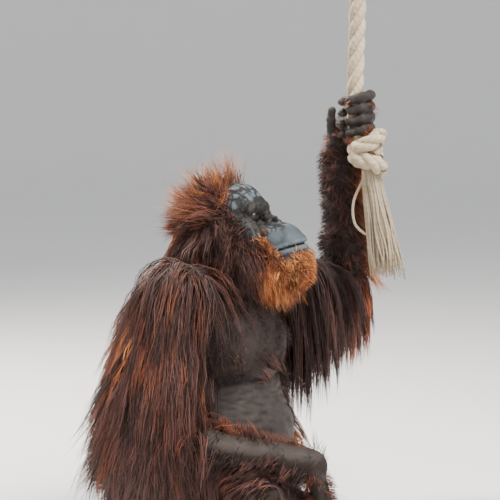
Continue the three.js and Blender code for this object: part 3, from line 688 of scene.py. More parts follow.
def carve(p, n):
    """Folds, lids, lips and wrinkles: how far each point moves along its normal, and the points moved; with
    them the light and shade painted on the skin by the height of each fold.
    """
    h = to_head(p)
    x, y, z = h.T
    on_face = (np.linalg.norm(h - vec(50, 0, -40), axis=1) < 140) & (x > 5)
    up = np.zeros(len(p))
    side = np.abs(y)
    # the line of the mouth and the roll of each lip
    m = z - (MOUTH[2] + np.tan(MOUTH_RISE) * (x - MOUTH[0]))
    turn = np.degrees(np.arctan2(side, x - MOUTH[0]))
    open_side = step(turn, 108, 88) * step(x, 78, 92)
    lips = -6.0 * hump(m, 0, 1.7) + 1.6 * hump(m, 6, 4) + 2.4 * hump(m, -7, 5) - 2.2 * hump(m, -15, 3.5)
    up += open_side * lips
    # the fold that runs from the wing of the nose to the corner of the mouth
    fold = side - (20 + (-46 - z) * 0.62)
    beside_mouth = step(z, -36, -50) * step(z, -104, -88) * step(x, 40, 60)
    up += (0.5 * hump(fold, 7, 5) - 0.6 * hump(fold, 0, 4.5)) * beside_mouth
    # nostrils with a raised rim
    for way in (-1, 1):
        d = np.linalg.norm((h - vec(99, way * 8.5, -37)) / vec(9, 6.5, 4.6), axis=1)
        up += -9 * np.exp(-(d**4)) + 1.6 * hump(d, 1.75, 0.45)
    up += -1.5 * hump(side, 21, 3) * hump(z, -38, 12) * step(x, 60, 75)
    # furrows between the brows
    up += -2.6 * (hump(side, 4.5, 1.5) + 0.8 * hump(side, 11, 1.6)) * hump(z, 2, 11) * step(x, 55, 70)
    # pouches below each eye
    for eye in EYES.values():
        d = h - eye
        round_eye = np.hypot(d[:, 1], d[:, 2] * 1.15)
        below = step(d[:, 2], 6, -10) * step(x, 30, 48)
        pouch = 1.4 * hump(round_eye, 21, 3) - 1.9 * hump(round_eye, 17.5, 1.8) - 1.5 * hump(round_eye, 27, 2)
        up += below * pouch
        up += -1.6 * hump(round_eye, 16.5, 1.6) * step(d[:, 2], 4, 10) * step(x, 30, 48)
    # wrinkles: scaly over the forehead, upright on the cheek, none over the muzzle
    muzzle = step(z, -52, -66) * step(x, 50, 75)
    forehead = step(z, -4, 14) * step(x, 15, 35)
    cheek = (1 - muzzle) * (1 - forehead) * step(x, 22, 40)
    warp = h + 5 * np.stack([ripple(h, 34, s) for s in (1, 2, 3)], 1)
    crack = lambda seed, size, *squash: hump(ripple(warp * vec(*squash), size, seed), 0, 0.21)
    scales = 0.45 - 1.6 * np.maximum(crack(4, 25, 0.6, 1.9, 0.6), 0.75 * crack(9, 27, 1.1, 0.5, 1.1))
    lines = 0.35 - 1.3 * np.maximum(crack(5, 25, 1.5, 1.6, 0.45), 0.6 * crack(12, 21, 0.8, 0.8, 1.2))
    wrinkles = 1.7 * forehead * scales + 1.5 * cheek * lines
    up += wrinkles
    # painted light and shade by height: raised wrinkles, lips and folds lighter, grooves and nostrils darker
    fold_light_and_shade = 0.3 * np.clip(wrinkles, -1.6, 1.0) + 0.12 * np.clip(up - wrinkles, -3, 1)
    relief_light_and_shade = 0.5 + np.where(on_face, fold_light_and_shade, 0)
    # a painted highlight: the muzzle a little lighter
    relief_light_and_shade += 0.05 * muzzle * on_face
    moved = np.where(on_face[:, None], p + n * up[:, None], p)
    # folds of the belly
    belly = step(p[:, 0], 60, 130) * step(np.abs(p[:, 1]), 150, 90)
    belly *= step(p[:, 2], 190, 215) * step(p[:, 2], 312, 290) * ~on_face
    waves = 1 - 2 * np.abs(ripple(p * vec(0.6, 0.6, 2.0), 27, 6))
    moved += n * (belly * waves * 1.9)[:, None]
    # the apron of the chest hangs over the belly in one deep fold
    apron = step(p[:, 0], 55, 95) * step(np.abs(p[:, 1]), 150, 120) * ~on_face
    edge = p[:, 2] - 318 - 8 * ripple(p, 90, 8)
    moved += n * (apron * (5 * hump(edge, 15, 13) - 8 * hump(edge, -4, 6)))[:, None]
    # creases of the pad on the chest
    hide = step(p[:, 2], 280, 330) * step(p[:, 0], 60, 100) * ~on_face
    creases = 1 - 2 * np.abs(ripple(p * vec(1, 1, 1.6), 34, 7))
    moved += n * (hide * creases * 1.0)[:, None]
    # painted light and shade: ridges of the belly's folds and the pad's creases lighter, their grooves darker,
    # and painted shade in the deep fold under the apron
    relief_light_and_shade += 0.12 * belly * waves + 0.1 * hide * creases - 0.4 * apron * hump(edge, -4, 7)
    return moved, relief_light_and_shade


def open_lids(p):
    """Points of the lids' slits go in behind the eyes."""
    h = to_head(p)
    for side, eye in EYES.items():
        d = h - eye
        far = np.linalg.norm(d, axis=1)
        turn = np.arctan2(d[:, 1], d[:, 0]) - (LID_TURN if side == "l" else -LID_TURN)
        tilt = np.arcsin(np.clip(d[:, 2] / np.maximum(far, 1), -1, 1))
        slit = LID_OPEN * (1 - (turn / LID_WIDE) ** 2)
        inside = (np.abs(tilt) < slit) & (np.abs(turn) < LID_WIDE) & (far < 24) & (d[:, 0] > 0)
        h[inside] = eye + d[inside] / far[inside, None] * (EYE_R - 3)
    return on_head(h)


def bare_edge(z):
    """How far forward the coat comes on the side of the face, by height on the head."""
    heights = [-140, -127, -110, -90, -66, -23, 10, 46, 60, 68, 74, 82]
    forward = [84, 82, 76, 68, 58, 44, 32, 28, 25, 26, 34, 70]
    return np.interp(z, heights, forward)


def hairy(p):
    """How much coat grows at each point, from 0 on bare skin to 1, and what that is worked out from."""
    part = part_at(p)
    h = to_head(p)
    n = slope(body, p)
    wander = 5 * ripple(p, 30, 11)
    head = step(h[:, 0] - bare_edge(h[:, 2]) + wander, 8, -6)
    head = np.maximum(head, step(h[:, 2] + 0.3 * wander, -117, -127))
    pad = among(part, "pouch").astype(float)
    belly = step(p[:, 0] + wander, 70, 110) * step(np.abs(p[:, 1] + 10), 140, 100)
    belly *= step(p[:, 2], 350, 310)
    run = (p - JOINT["elbow_r"]) @ unit(JOINT["wrist_r"] - JOINT["elbow_r"])
    patch = step(n @ unit(vec(0.14, -0.4, 0.9)), 0.5, 0.75) * step(run, 90, 130)
    patch *= among(part, "forearm_r")
    density = np.ones(len(p))
    coats = {("head",): head, ("torso",): 1 - 0.85 * belly, ("pouch",): 0.0, ("forearm_r",): 1 - 0.9 * patch}
    coats[EXTREMITIES] = 0.15
    for names, coat in coats.items():
        density = np.where(among(part, *names), coat, density)
    return density, part, h, n, pad, patch


class ORANGUTAN_OT_skin(bpy.types.Operator):
    """Model the whole skin as one surface, with the face's folds, lids, lips and nostrils"""

    bl_idname = "orangutan.make_skin"
    bl_label = "Skin"

    def execute(self, context):
        sizes = context.scene.orangutan_sizes
        deselect()
        made = []
        for form in PARTS.values():
            for centre, radii in form.seeds:
                bpy.ops.mesh.primitive_uv_sphere_add(
                    segments=20, ring_count=12, radius=1, location=Vector(centre * MM)
                )
                rough_ball = bpy.context.object
                rough_ball.scale = Vector(radii * MM)
                made.append(rough_ball)
        skin = join(made, "skin")
        apply_modifier(skin, "REMESH", mode="VOXEL", voxel_size=sizes.skin_voxel, adaptivity=0.0)
        move_points(skin, settled(body, points_of(skin)))
        for cuts, near in ((sizes.face_cuts, self.face), (1, self.ears), (1, self.extremities)):
            self.refine(skin, near, cuts)
        p = settled(body, points_of(skin), 3, 3)
        n = slope(body, p, 1.6)
        p, relief_light_and_shade = carve(p, n)
        p = open_lids(p)
        p[:, 2] = np.maximum(p[:, 2], SKIN_CLEAR)
        move_points(skin, p)
        skin.data.shade_smooth()
        skin.data.materials.clear()
        skin.data.materials.append(skin_material())
        self.colour(skin, p, relief_light_and_shade)
        flesh = [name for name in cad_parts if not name.startswith(("eye", "rope"))]
        dressed(skin, "skin", *flesh)
        return {"FINISHED"}

    def face(self, p):
        x, y, z = to_head(p).T
        return (x > 18) & (x < 150) & (np.abs(y) < 75) & (z > -140) & (z < 75)

    def ears(self, p):
        x, y, z = to_head(p).T
        return (np.abs(np.abs(y) - 68) < 16) & (np.abs(x + 3) < 14) & (np.abs(z + 14) < 26)

    def extremities(self, p):
        return among(part_at(p), *EXTREMITIES)

    def refine(self, skin, near, cuts):
        close = near(points_of(skin))
        active(skin)
        bpy.ops.object.mode_set(mode="EDIT")
        bpy.ops.mesh.select_all(action="DESELECT")
        bpy.ops.object.mode_set(mode="OBJECT")
        corners = np.empty(len(skin.data.loops), np.int32)
        skin.data.loops.foreach_get("vertex_index", corners)
        starts = np.empty(len(skin.data.polygons), np.int32)
        skin.data.polygons.foreach_get("loop_start", starts)
        inside = np.minimum.reduceat(close[corners].astype(np.int8), starts).astype(bool)
        skin.data.polygons.foreach_set("select", inside)
        bpy.ops.object.mode_set(mode="EDIT")
        bpy.ops.mesh.select_mode(type="FACE")
        bpy.ops.mesh.subdivide(number_cuts=cuts, smoothness=0)
        bpy.ops.object.mode_set(mode="OBJECT")

    def colour(self, skin, p, relief_light_and_shade):
        """Mark the bluer skin of the face, the hairy, the dry and worn skin, and the light and shade painted
        by the height of each fold.
        """
        density, part, h, _, pad, patch = hairy(p)
        x, y, z = h.T
        head = among(part, "head")
        face = head * (1 - density)
        muzzle = step(z, -40, -58) * step(x, 44, 66)
        blue = face * (0.14 + 0.8 * muzzle + 0.6 * step(z, 8, 24))
        # round the eyes: skin darker and less blue, and painted shade in the eye hollows
        dark_eyes_and_shade = hump(np.abs(y), 18, 26) * hump(z, -8, 19) * step(x, 36, 56) * face
        blue = np.clip(blue - 0.9 * dark_eyes_and_shade, 0, 1)
        relief_light_and_shade = relief_light_and_shade - 0.34 * dark_eyes_and_shade
        below_lip = face * step(z, -106, -118)
        chin = head * step(z, -108, -122) * step(x, 55, 80)
        bare_trunk = among(part, "torso") & (density < 0.5)
        dry = 0.9 * chin + 0.4 * patch + 0.1 * pad + 0.16 * bare_trunk + 0.2 * below_lip
        hair = np.clip(density * 1.2 * (1 - 0.9 * chin) + 0.8 * pad, 0, 1)
        colour_points(skin, "Markings_and_shading", np.column_stack([blue, hair, np.clip(dry, 0, 1), relief_light_and_shade]))


# The coat
COAT_TRIANGLES = 190_000
WAVE_LENGTH = 190


def atlas(p, part):
    """Where each point of the skin lies on its unwrap: one cell a part, by turn and distance along it."""
    ends = {
        "torso": ("pelvis", "girdle"),
        "neck": ("girdle", "head"),
        "pouch": ("belly", "neck"),
        "head": ("neck", "head"),
        "upper_arm_r": ("shoulder_r", "elbow_r"),
        "upper_arm_l": ("shoulder_l", "elbow_l"),
        "thigh_r": ("hip_r", "knee_r"),
        "thigh_l": ("hip_l", "knee_l"),
        "forearm_r": ("elbow_r", "wrist_r"),
        "forearm_l": ("elbow_l", "wrist_l"),
        "shin_r": ("knee_r", "ankle_r"),
        "shin_l": ("knee_l", "ankle_l"),
        "hand_l": ("elbow_l", "wrist_l"),
        "hand_r": ("wrist_r", "knuckle_r"),
        "foot_r": ("knee_r", "ankle_r"),
        "foot_l": ("knee_l", "ankle_l"),
    }
    uv = np.zeros((len(p), 2))
    for i, name in enumerate(PART_NAMES):
        here = part == i
        if not here.any():
            continue
        a, b = (JOINT[k] for k in ends[name])
        way = unit(b - a)
        u = unit(np.cross(way, vec(0.3, 0.2, 1) if abs(way[2]) < 0.9 else vec(1, 0, 0)))
        v = np.cross(way, u)
        q = p[here] - a
        turn = np.arctan2(q @ v, q @ u) / TURN + 0.5
        run = np.clip((q @ way) / (np.linalg.norm(b - a) * 2.4) + 0.3, 0, 1)
        cell = vec(i % 4, i // 4)
        uv[here] = (cell + 0.03 + 0.92 * np.stack([turn, run], 1)) / 4
    return uv


def drape(root, n, comb, length, sag, lift, stand, steps, loose):
    """Lines that leave the skin along the comb and hang, between their lift and loose more off the flesh."""
    way = unit(comb + n * (stand[:, None] - dot(comb, n)))
    p = root.copy()
    line, outs = [root - n * ROOT_DEPTH], [n]
    reach = (np.arange(steps + 1) / steps) ** 1.3
    for i in range(1, steps + 1):
        way = unit(way + DOWN * sag[:, None])
        p = p + way * (length * (reach[i] - reach[i - 1]))[:, None]
        height = LINE_CLEAR + lift * reach[i] ** 0.7
        for _ in range(2):
            far = body(p) - height
            far = np.where(far > loose, (far - loose) * 0.7, np.minimum(far, 0))
            off = far != 0
            if off.any():
                level = np.where(far[off, None] > 0, vec(1, 1, 0), 1.0)
                p[off] -= slope(body, p[off], 3) * level * far[off, None]
        p[:, 2] = np.maximum(p[:, 2], LINE_CLEAR)
        way = unit(p - line[-1])
        line.append(p.copy())
        outs.append(outs[-1] * 0.4 + unit(n + outs[-1]) * 0.6)
    return np.stack(line, 1), np.stack(outs, 1)


def strands(name, lines, outs, width, tone, uv):
    """Closed, three-sided, tapering strands along the lines, joined in one mesh."""
    count, rings, _ = lines.shape
    rings -= 1
    way = unit(np.gradient(lines, axis=1))[:, :-1]
    side = unit(np.cross(way, outs[:, :-1]))
    up = np.cross(side, way)
    t = np.linspace(0, 1, rings + 1)[:-1]
    shape = np.interp(t, [0, 0.2, 0.6, 1], [0.7, 1, 0.85, 0.3])
    half = width[:, None, None] * 0.5 * shape[None, :, None]
    c = lines[:, :-1]
    ring = np.stack([c + side * half, c + up * half * 0.75, c - side * half], 2)
    points = np.concatenate([ring.reshape(count, rings * 3, 3), lines[:, -1:]], 1)
    faces = [(0, 2, 1)]
    for r in range(rings - 1):
        for s in range(3):
            a, b = r * 3 + s, r * 3 + (s + 1) % 3
            faces += [(a, b, b + 3), (a, b + 3, a + 3)]
    last = (rings - 1) * 3
    faces += [(last + s, last + (s + 1) % 3, rings * 3) for s in range(3)]
    each = rings * 3 + 1
    faces = (np.array(faces)[None] + (np.arange(count) * each)[:, None, None]).reshape(-1, 3)
    obj = mesh_object(name, points.reshape(-1, 3), faces, coat_material())
    run = np.concatenate([np.repeat(t, 3), [1]])
    across = np.concatenate([np.tile([0, 0.5, 1], rings), [0.5]])
    values = np.empty((count, each, 4))
    values[:, :, 0] = tone[:, 0, None]
    values[:, :, 1] = tone[:, 1, None]
    values[:, :, 2] = run
    values[:, :, 3] = 1
    colour_points(obj, "Lock", values.reshape(-1, 4))
    patch = uv[:, None] + 0.003 * (np.stack([across, run], 1)[None] - 0.5)
    uv_points(obj, "OFBake", np.clip(patch, 0, 1).reshape(-1, 2))
    return obj


def skin_faces():
    """Centres, areas, coat density and parts of the skin's faces, worked out once."""
    mesh = bpy.data.objects["skin"].data
    if "faces" not in skin_faces.kept:
        centre, area = np.empty(len(mesh.polygons) * 3), np.empty(len(mesh.polygons))
        mesh.polygons.foreach_get("center", centre)
        mesh.polygons.foreach_get("area", area)
        p = centre.reshape(-1, 3) / MM
        density, part, h, n, pad, patch = hairy(p)
        skin_faces.kept["faces"] = SimpleNamespace(
            p=p, area=area, density=density, part=part, h=h, n=n, pad=pad, patch=patch
        )
    return skin_faces.kept["faces"]


skin_faces.kept = {}


def chosen(s, pick):
    """The same facts for some of the places."""
    return SimpleNamespace(**{key: value[pick] for key, value in vars(s).items()})


def is_part(s, *names):
    return among(s.part, *names)


def along_bone(s, start, end):
    bone = JOINT[end] - JOINT[start]
    return (s.p - JOINT[start]) @ bone / (bone @ bone)


def grow(
    name,
    seed,
    where,
    comb,
    length,
    rust,
    count=5600,
    family=12,
    width=2.3,
    sag=0.3,
    lift=20,
    stand=0.2,
    steps=4,
    spread=12,
    clump=0.7,
    wild=0.16,
    wave=4.0,
    loose=1000,
):
    """One piece of the coat: guide lines over part of the skin, each with strands that gather to its tip."""
    rng = np.random.default_rng(seed)
    per_strand = 6 * (steps - 1) + 4
    count = min(count, COAT_TRIANGLES // per_strand)
    guides = count // family
    s = skin_faces()
    weight = s.area * where(s)
    pick = rng.choice(len(weight), guides, p=weight / weight.sum())
    s = chosen(s, pick)
    s.p = settled(body, s.p + rng.normal(size=s.p.shape) * 3, 2, 6)
    s.n = slope(body, s.p, 3)
    value = lambda v: v(s) if callable(v) else np.full(guides, float(v))
    flow = np.stack([ripple(s.p, 110, seed * 3 + k) for k in range(3)], 1) * 0.28
    lie = comb(s) if callable(comb) else comb + 0 * s.p
    way = unit(lie) + flow + rng.normal(size=s.p.shape) * wild
    long = value(length) * rng.uniform(0.72, 1.18, guides)
    line, outs = drape(
        s.p,
        s.n,
        unit(way),
        long,
        value(sag) * 6 / steps * rng.uniform(0.7, 1.3, guides),
        value(lift) * rng.uniform(0.25, 1.1, guides),
        value(stand) + rng.uniform(-0.1, 0.15, guides),
        steps,
        loose,
    )
    # each strand runs beside its guide line and gathers to the line's tip
    t = np.linspace(0, 1, steps + 1)
    offset = rng.normal(size=(guides, family, 3)) * spread
    offset -= s.n[:, None] * dot(offset, s.n[:, None])
    reach = rng.uniform(0.72, 1.0, (guides, family))
    at = t[None, None] * reach[..., None] * steps
    low = np.minimum(at.astype(int), steps - 1)
    frac = (at - low)[..., None]
    g = np.arange(guides)[:, None, None]
    strand = line[g, low] * (1 - frac) + line[g, low + 1] * frac
    out = outs[g, low]
    gather = 1 - value(clump)[:, None, None] * t[None, None] ** 0.8
    strand = strand + offset[:, :, None] * gather[..., None]
    phase = rng.uniform(0, 6.28, (guides, 1, 1, 3)) + rng.normal(size=(guides, family, 1, 3)) * 0.5
    turns = (long / WAVE_LENGTH)[:, None, None, None] * TURN * t[None, None, :, None]
    strand = strand + np.sin(turns + phase) * wave * (t**0.8)[None, None, :, None]
    strand = strand + rng.normal(size=strand.shape) * (0.8 * t)[None, None, :, None]
    strand[..., 2] = np.maximum(strand[..., 2], STRAND_CLEAR)
    strand[:, :, 0] -= s.n[:, None] * 2
    flat = lambda a: a.reshape(guides * family, *a.shape[2:])
    tone = value(rust)[:, None] + rng.normal(size=(guides, 1)) * 0.11
    tone = tone + rng.normal(size=(guides, family)) * 0.06
    shade = 0.5 + 0.24 * rng.normal(size=(guides, 1)) + 0.16 * rng.normal(size=(guides, family))
    widths = value(width)[:, None] * rng.uniform(0.6, 1.25, (guides, family))
    obj = strands(
        name,
        flat(strand),
        flat(out),
        flat(widths),
        np.stack([flat(tone), flat(shade)], 1),
        np.repeat(atlas(s.p, s.part), family, 0) + rng.normal(size=(guides * family, 2)) * 0.002,
    )
    return dressed(obj, "coat")


WHORL = vec(-50, -165, 560)


def from_whorl(s):
    """The comb of the cape: away from the whorl on the shoulder, back and down, in slow waves."""
    away = s.p - WHORL
    away = away - s.n * dot(away, s.n)
    bend = (0.4 * ripple(s.p, 95, 61) + 0.15 * ripple(s.p, 38, 62)) * step(s.n[:, 2], 0.8, 0.4)
    return unit(away) * 0.25 + vec(-0.34, -0.2, -0.9) + VIEW_ALONG * bend[:, None]


def rust_and_painted_rim_glow(s):
    """More orange high on the back and the outer shoulder: partly the coat's own colour, partly painted glow
    of the light from behind.
    """
    high = step(s.p[:, 2], 280, 470) * step(s.p @ VIEW_ALONG, -45, -135)
    return np.clip(0.31 + 0.42 * high + 0.14 * ripple(s.p, 34, 41), 0, 0.64)


def low_on_top(s):
    """Hair on what faces up lies closer."""
    return 0.35 + 0.65 * step(s.n[:, 2], 0.8, 0.15)


def outside(s):
    """Hair that faces out to the near side lies closer too."""
    return 1 - 0.45 * step(-s.n[:, 1], 0.3, 0.9)


def behind_edge(s):
    """The cape of the near shoulder ends at an edge, and the chest in front of it has short hair."""
    edge = np.interp(s.p[:, 2], [327, 370, 424, 493, 536, 552], [0, -2, -13, -36, -34, 5])
    return step(s.p @ VIEW_ALONG - edge, 10, -12)


def down_near_arm(s):
    return along_bone(s, "shoulder_r", "elbow_r")


def cape(s):
    return is_part(s, "upper_arm_r") * step(down_near_arm(s), 1.15, 0.9) * behind_edge(s)


class ORANGUTAN_OT_body_coat(bpy.types.Operator):
    """Grow the long coat of the back, shoulders, arms, belly and legs"""

    bl_idname = "orangutan.make_body_coat"
    bl_label = "Body coat"

    def execute(self, context):
        self.shoulder_cape()
        self.back()
        self.belly_and_chest()
        self.near_forearm()
        self.far_arm()
        self.legs_and_hands()
        return {"FINISHED"}

    def shoulder_cape(self):
        def shoulder(s):
            x, y, z = s.p.T
            upper = cape(s) * step(down_near_arm(s), 0.5, 0.3) * (1 + 2 * step(z, 520, 545))
            flank = is_part(s, "torso") * step(y, -60, -110) * step(z, 300, 360) * step(x, 50, 20)
            return (upper + flank) * s.density

        grow(
            "coat_shoulder",
            1,
            shoulder,
            from_whorl,
            235,
            rust_and_painted_rim_glow,
            lift=lambda s: low_on_top(s) * (10 + 58 * outside(s) * step(s.p[:, 0], 70, -20)),
            sag=0.42, stand=0.12, wild=0.14, loose=25, wave=7.0, count=6200,
        )
        grow(
            "coat_sleeve",
            2,
            lambda s: cape(s) * step(down_near_arm(s), 0.25, 0.4) * s.density,
            lambda s: vec(-0.42, -0.2, -0.88) + VIEW_ALONG * 0.4 * ripple(s.p, 80, 63)[:, None],
            lambda s: 250 - 80 * step(down_near_arm(s), 0.6, 1),
            lambda s: 0.27 + 0.2 * ripple(s.p, 50, 42),
            lift=lambda s: 12 + 74 * outside(s) * step(s.p[:, 0], 60, -20),
            sag=0.2, stand=0.12, wild=0.14, loose=25, wave=7.0, count=6000,
        )

    def back(self):
        behind = lambda s: is_part(s, "torso") * step(s.p[:, 0], 50, 10) * s.density
        grow(
            "coat_upper_back",
            3,
            lambda s: behind(s) * step(s.p[:, 2], 300, 340),
            vec(-0.4, 0, -0.85),
            lambda s: 215 - 45 * step(s.n[:, 2], 0.3, 0.8),
            rust_and_painted_rim_glow,
            lift=lambda s: 70 * low_on_top(s),
            sag=0.42, stand=0.18, wild=0.12, loose=25,
        )
        grow(
            "coat_lower_back",
            4,
            lambda s: behind(s) * step(s.p[:, 2], 350, 310) * step(s.p[:, 2], 20, 60),
            vec(-0.5, 0, -0.85),
            lambda s: np.clip(s.p[:, 2] * 0.8, 60, 200),
            0.34,
            lift=84, sag=0.24, loose=25, count=3800,
        )

    def belly_and_chest(self):
        def belly(s):
            low_front = step(s.p[:, 0], 20, 60) * step(s.p[:, 2], 420, 340)
            return is_part(s, "torso") * low_front * np.maximum(s.density - 0.2, 0)

        def chest(s):
            pad = is_part(s, "pouch") * (0.4 + step(s.p[:, 1], -70, -110))
            beside = is_part(s, "upper_arm_r", "torso", "neck") * (1 - behind_edge(s))
            return pad + beside * step(s.p[:, 2], 330, 360) * (s.p[:, 0] > -30)

        grow(
            "coat_belly",
            5,
            belly,
            lambda s: vec(-0.15, 0, -1) + vec(0, -0.35, 0) * np.sign(s.p[:, 1:2]),
            lambda s: 40 + 70 * step(np.abs(s.p[:, 1]), 80, 130),
            lambda s: 0.26 + 0.3 * step(s.p[:, 2], 260, 190),
            lift=8, sag=0.2, width=1.8, spread=9, count=2600,
        )
        grow(
            "coat_chest",
            6,
            chest,
            vec(0.1, 0.1, -1),
            16,
            lambda s: 0.14 + 0.05 * ripple(s.p, 40, 46),
            steps=2, lift=1, sag=0.02, width=1.3, spread=9, clump=0.2, wave=0.6,
        )

    def near_forearm(self):
        down = lambda s: along_bone(s, "elbow_r", "wrist_r")
        top = lambda s: step(s.n @ unit(vec(-0.3, 0.6, 0.7)), 0.35, 0.8)
        fringe = lambda s: 38 + 12 * top(s) + 58 * step(s.n[:, 2], 0.2, -0.7)
        to_elbow = unit(JOINT["elbow_r"] - JOINT["wrist_r"])

        def elbow(s):
            below = is_part(s, "forearm_r") * step(down(s), 0.5, 0.25)
            above = is_part(s, "upper_arm_r") * step(down_near_arm(s), 0.75, 0.95)
            return (below + above) * s.density

        grow(
            "coat_forearm_r",
            7,
            lambda s: is_part(s, "forearm_r") * (0.04 + s.density) * step(down(s), 1.1, 0.9),
            to_elbow + vec(0, 0, -0.2),
            lambda s: np.where(s.patch > 0.5, 14, fringe(s)),
            # more orange on top: the coat's own rust, and painted light from above
            lambda s: 0.2 + 0.38 * top(s) + 0.1 * ripple(s.p, 40, 43),
            lift=lambda s: 5 + 12 * top(s),
            stand=lambda s: 0.12 + 0.12 * top(s),
            sag=0.1, width=1.5, spread=9, clump=0.45, wave=2, count=4400,
        )
        grow(
            "coat_elbow_r",
            8,
            elbow,
            vec(-0.4, -0.2, -0.85),
            170,
            lambda s: 0.27 + 0.12 * ripple(s.p, 50, 44),
            lift=14, sag=0.5, stand=0.05, wild=0.11, loose=15, count=3000,
        )

    def far_arm(self):
        down = lambda s: along_bone(s, "shoulder_l", "elbow_l")
        down_fore = lambda s: along_bone(s, "elbow_l", "wrist_l")
        outer = lambda s: step(s.n @ unit(vec(0.8, 0.6, 0.0)), 0.4, 0.9)
        off_top = lambda s: (np.sign(s.n[:, 0]) * step(s.n[:, 2], 0.1, 0.7))[:, None]
        to_elbow = unit(JOINT["elbow_l"] - JOINT["wrist_l"])

        def curtain(s):
            arm = is_part(s, "upper_arm_l") * step(down(s), -0.1, 0.15)
            return arm * (0.8 + step(s.n[:, 2], 0.5, -0.5)) * s.density

        grow(
            "coat_arm_l",
            9,
            curtain,
            lambda s: vec(0, 0.1, -0.9) + vec(1.5, 0, 0) * off_top(s),
            lambda s: 265 - 110 * step(down(s), 0.15, 1),
            lambda s: 0.2 + 0.32 * step(down(s), 0.7, 1.05) + 0.1 * ripple(s.p, 30, 47),
            sag=0.9, lift=5, family=20, spread=15, clump=0.92, steps=5, count=4300,
        )
        grow(
            "coat_forearm_l",
            10,
            lambda s: is_part(s, "forearm_l") * s.density,
            to_elbow + vec(0.1, 0.1, -0.15),
            lambda s: 20 + outer(s) * (80 - 30 * step(down_fore(s), 0.55, 1)),
            # the outer fringe more orange: its own rust, and painted glow where the fringe is lit
            lambda s: 0.23 + 0.56 * outer(s) + 0.06 * ripple(s.p, 30, 48),
            lift=lambda s: 2 + 11 * outer(s),
            sag=0.1, stand=0.1, width=1.7, spread=8, clump=0.5, wave=2, count=4600,
        )

    def legs_and_hands(self):
        def wrist(s):
            away = [np.linalg.norm(s.p - JOINT[name], axis=1) for name in ("wrist_l", "wrist_r")]
            return np.exp(-np.minimum(*away) / 38)

        grow(
            "coat_legs",
            11,
            lambda s: is_part(s, "thigh_r", "thigh_l", "shin_r", "shin_l") * s.density,
            lambda s: vec(-0.6, 0, -0.6) + vec(0, 0.4, 0) * np.sign(s.p[:, 1:2]),
            90,
            lambda s: 0.36 + 0.16 * ripple(s.p, 60, 45),
            lift=9, sag=0.25, count=3200,
        )
        grow(
            "coat_hands",
            12,
            lambda s: is_part(s, *EXTREMITIES) * (0.03 + 2 * wrist(s)),
            vec(0.1, 0.3, -1),
            lambda s: 16 + 24 * wrist(s),
            0.5,
            steps=3, lift=2, sag=0.05, width=1.3, spread=6, clump=0.3, wave=1,
            count=1800,
        )


